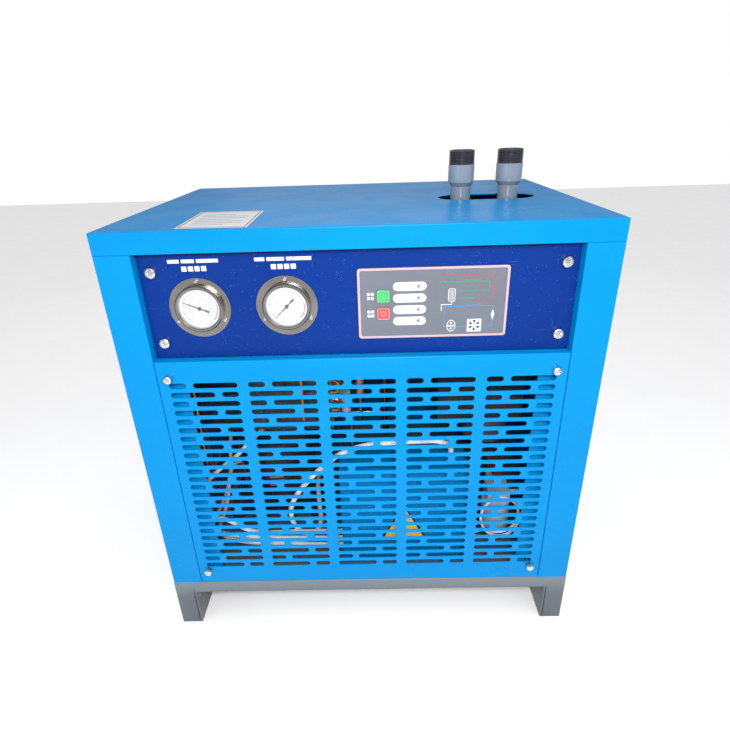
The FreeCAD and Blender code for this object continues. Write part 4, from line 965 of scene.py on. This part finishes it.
def make_condenser():
    """Aluminium fins on a copper serpentine between two galvanised end plates."""
    low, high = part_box("condenser_coil")
    side = 0.018
    left, right = low.x + side, high.x - side
    builder = bmesh.new()
    pitch = 0.0026
    count = int((right - left) / pitch)
    thickness = 0.00025
    waves = 8
    swing = 0.0005
    for index in range(count + 1):
        x = left + index * (right - left) / count
        outline = []
        for wave in range(waves + 1):
            y = low.y + (high.y - low.y) * wave / waves
            outline.append((x + (swing if wave % 2 else -swing), y))
        rim = [(px - thickness / 2, py) for px, py in outline]
        rim += [(px + thickness / 2, py) for px, py in reversed(outline)]
        bottom = [builder.verts.new((px, py, low.z)) for px, py in rim]
        top = [builder.verts.new((px, py, high.z)) for px, py in rim]
        total = len(rim)
        for step in range(waves):
            other = total - 1 - step
            builder.faces.new((top[step], top[step + 1], top[other - 1], top[other]))
            builder.faces.new((bottom[other], bottom[other - 1], bottom[step + 1], bottom[step]))
        for step in range(total):
            following = (step + 1) % total
            builder.faces.new((bottom[step], bottom[following], top[following], top[step]))
    fins = finish_piece("condenser_fins", mesh_of(builder), MATERIALS["fins"])
    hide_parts("condenser_coil")

    middle = (low.y + high.y) / 2
    radius = 0.004
    bulge = 0.012
    rows = 12
    margin = 0.02
    pitch_z = (high.z - low.z - 2 * margin) / (rows - 1)
    for layer, y in enumerate((middle - 0.011, middle + 0.011)):
        points = []
        for row in range(rows):
            z = low.z + margin + row * pitch_z
            ends = (left - 0.003, right + 0.003) if row % 2 == 0 else (right + 0.003, left - 0.003)
            points += [(ends[0], y, z), (ends[1], y, z)]
            if row < rows - 1:
                out = ends[1] + (bulge if ends[1] > 0.5 * (left + right) else -bulge)
                points += [(out, y, z + 0.002), (out, y, z + pitch_z - 0.002)]
        tube_piece(f"condenser_tubes_{layer}", points, radius, MATERIALS["copper"])
    builder = bmesh.new()
    gap, plate = 0.001, 0.0012
    size = Matrix.Diagonal((plate, high.y - low.y, high.z - low.z, 1))
    for x in (left - gap - plate / 2, right + gap + plate / 2):
        place = Matrix.Translation((x, middle, (low.z + high.z) / 2))
        bmesh.ops.create_cube(builder, size=1, matrix=place @ size)
    finish_piece("condenser_ends", mesh_of(builder), MATERIALS["galvanised"])


# ---------------------------------------------------------------- fan

def make_fan():
    """Fan rotor: chamfered hub and five curved blades that narrow at the tips."""
    low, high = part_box("fan_blades")
    shaft = centre_of("fan_shaft")
    tip = min(high.x - shaft.x, shaft.x - low.x, high.z - shaft.z) - 0.002
    builder = bmesh.new()
    count = 5
    hub = 0.030
    depth = (high.y - low.y) * 0.46
    centre_y = (low.y + high.y) / 2

    def lay(x, z, out):
        return (shaft.x + x, centre_y - out, shaft.z + z)

    rows, columns = 12, 10
    half_sheet = 0.0009
    for blade in range(count):
        sheets = []
        for offset in (half_sheet, -half_sheet):
            grid = []
            for row in range(rows + 1):
                share = row / rows
                radius = hub - 0.003 + (tip - hub + 0.003) * share
                half = math.radians(30 - 7 * share) * (1 - 0.35 * max(0, share - 0.75) / 0.25)
                line = []
                for column in range(columns + 1):
                    across = column / columns * 2 - 1
                    angle = 2 * math.pi * blade / count + half * across + 0.12 * share
                    camber = 0.004 * (1 - across ** 2)
                    y = depth * 0.92 * across * (1 - 0.3 * share) + camber + offset
                    line.append(builder.verts.new(lay(radius * math.cos(angle), radius * math.sin(angle), y)))
                grid.append(line)
            sheets.append(grid)
        front, back = sheets
        for row in range(rows):
            for column in range(columns):
                builder.faces.new((front[row][column], front[row][column + 1], front[row + 1][column + 1],
                                   front[row + 1][column]))
                builder.faces.new((back[row][column], back[row + 1][column], back[row + 1][column + 1],
                                   back[row][column + 1]))
        border = [(0, column) for column in range(columns)] + [(row, columns) for row in range(rows)]
        border += [(rows, column) for column in range(columns, 0, -1)] + [(row, 0) for row in range(rows, 0, -1)]
        for index, (row, column) in enumerate(border):
            next_row, next_column = border[(index + 1) % len(border)]
            builder.faces.new((front[row][column], back[row][column], back[next_row][next_column],
                               front[next_row][next_column]))
    hub_depth = 0.0125
    profile = [(0, -hub_depth), (hub - 0.003, -hub_depth), (hub, -hub_depth + 0.003), (hub, hub_depth - 0.005),
               (hub - 0.005, hub_depth), (0, hub_depth)]
    lathe(builder, profile, lay)
    fan = finish_piece("fan_rotor", mesh_of(builder), MATERIALS["cast_aluminium"], "fan",
                       smooth=math.radians(40))
    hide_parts("fan_blades")


# ---------------------------------------------------------------- pipes

def make_threads():
    """Ridges of the pipe threads round the two black pipe ends."""
    low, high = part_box("threaded_ends")
    radius = (high.y - low.y) / 2
    y = (low.y + high.y) / 2
    pitch = 0.00231
    bore = radius - 0.0030
    depth = 0.0012
    builder = bmesh.new()
    for x in (low.x + radius, high.x - radius):
        profile = [(bore, low.z), (radius - depth, low.z)]
        turns = int((high.z - low.z) / pitch)
        for index in range(turns):
            start = low.z + index * pitch
            profile += [(radius - depth, start + 0.25 * pitch), (radius, start + 0.6 * pitch),
                        (radius, start + 0.75 * pitch)]
        profile += [(radius - depth, high.z - 0.0005), (radius - depth - 0.0006, high.z), (bore, high.z)]

        def lay(across, ahead, up, x=x):
            return (x + across, y + ahead, up)

        lathe(builder, profile, lay)
    threads = finish_piece("pipe_threads", mesh_of(builder), MATERIALS["black_steel"],
                           smooth=math.radians(25))
    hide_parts("threaded_ends")


make_camera()
make_studio()
dress_frame()
make_dial_print("refrigerant_gauge")
make_dial_print("air_gauge")
make_gauge_captions()
make_controller_print()
make_box_marker()
make_lid_label()
make_weld_spot()
make_compressor_details()
make_jacket_tape()
make_condenser()
make_fan()
make_threads()
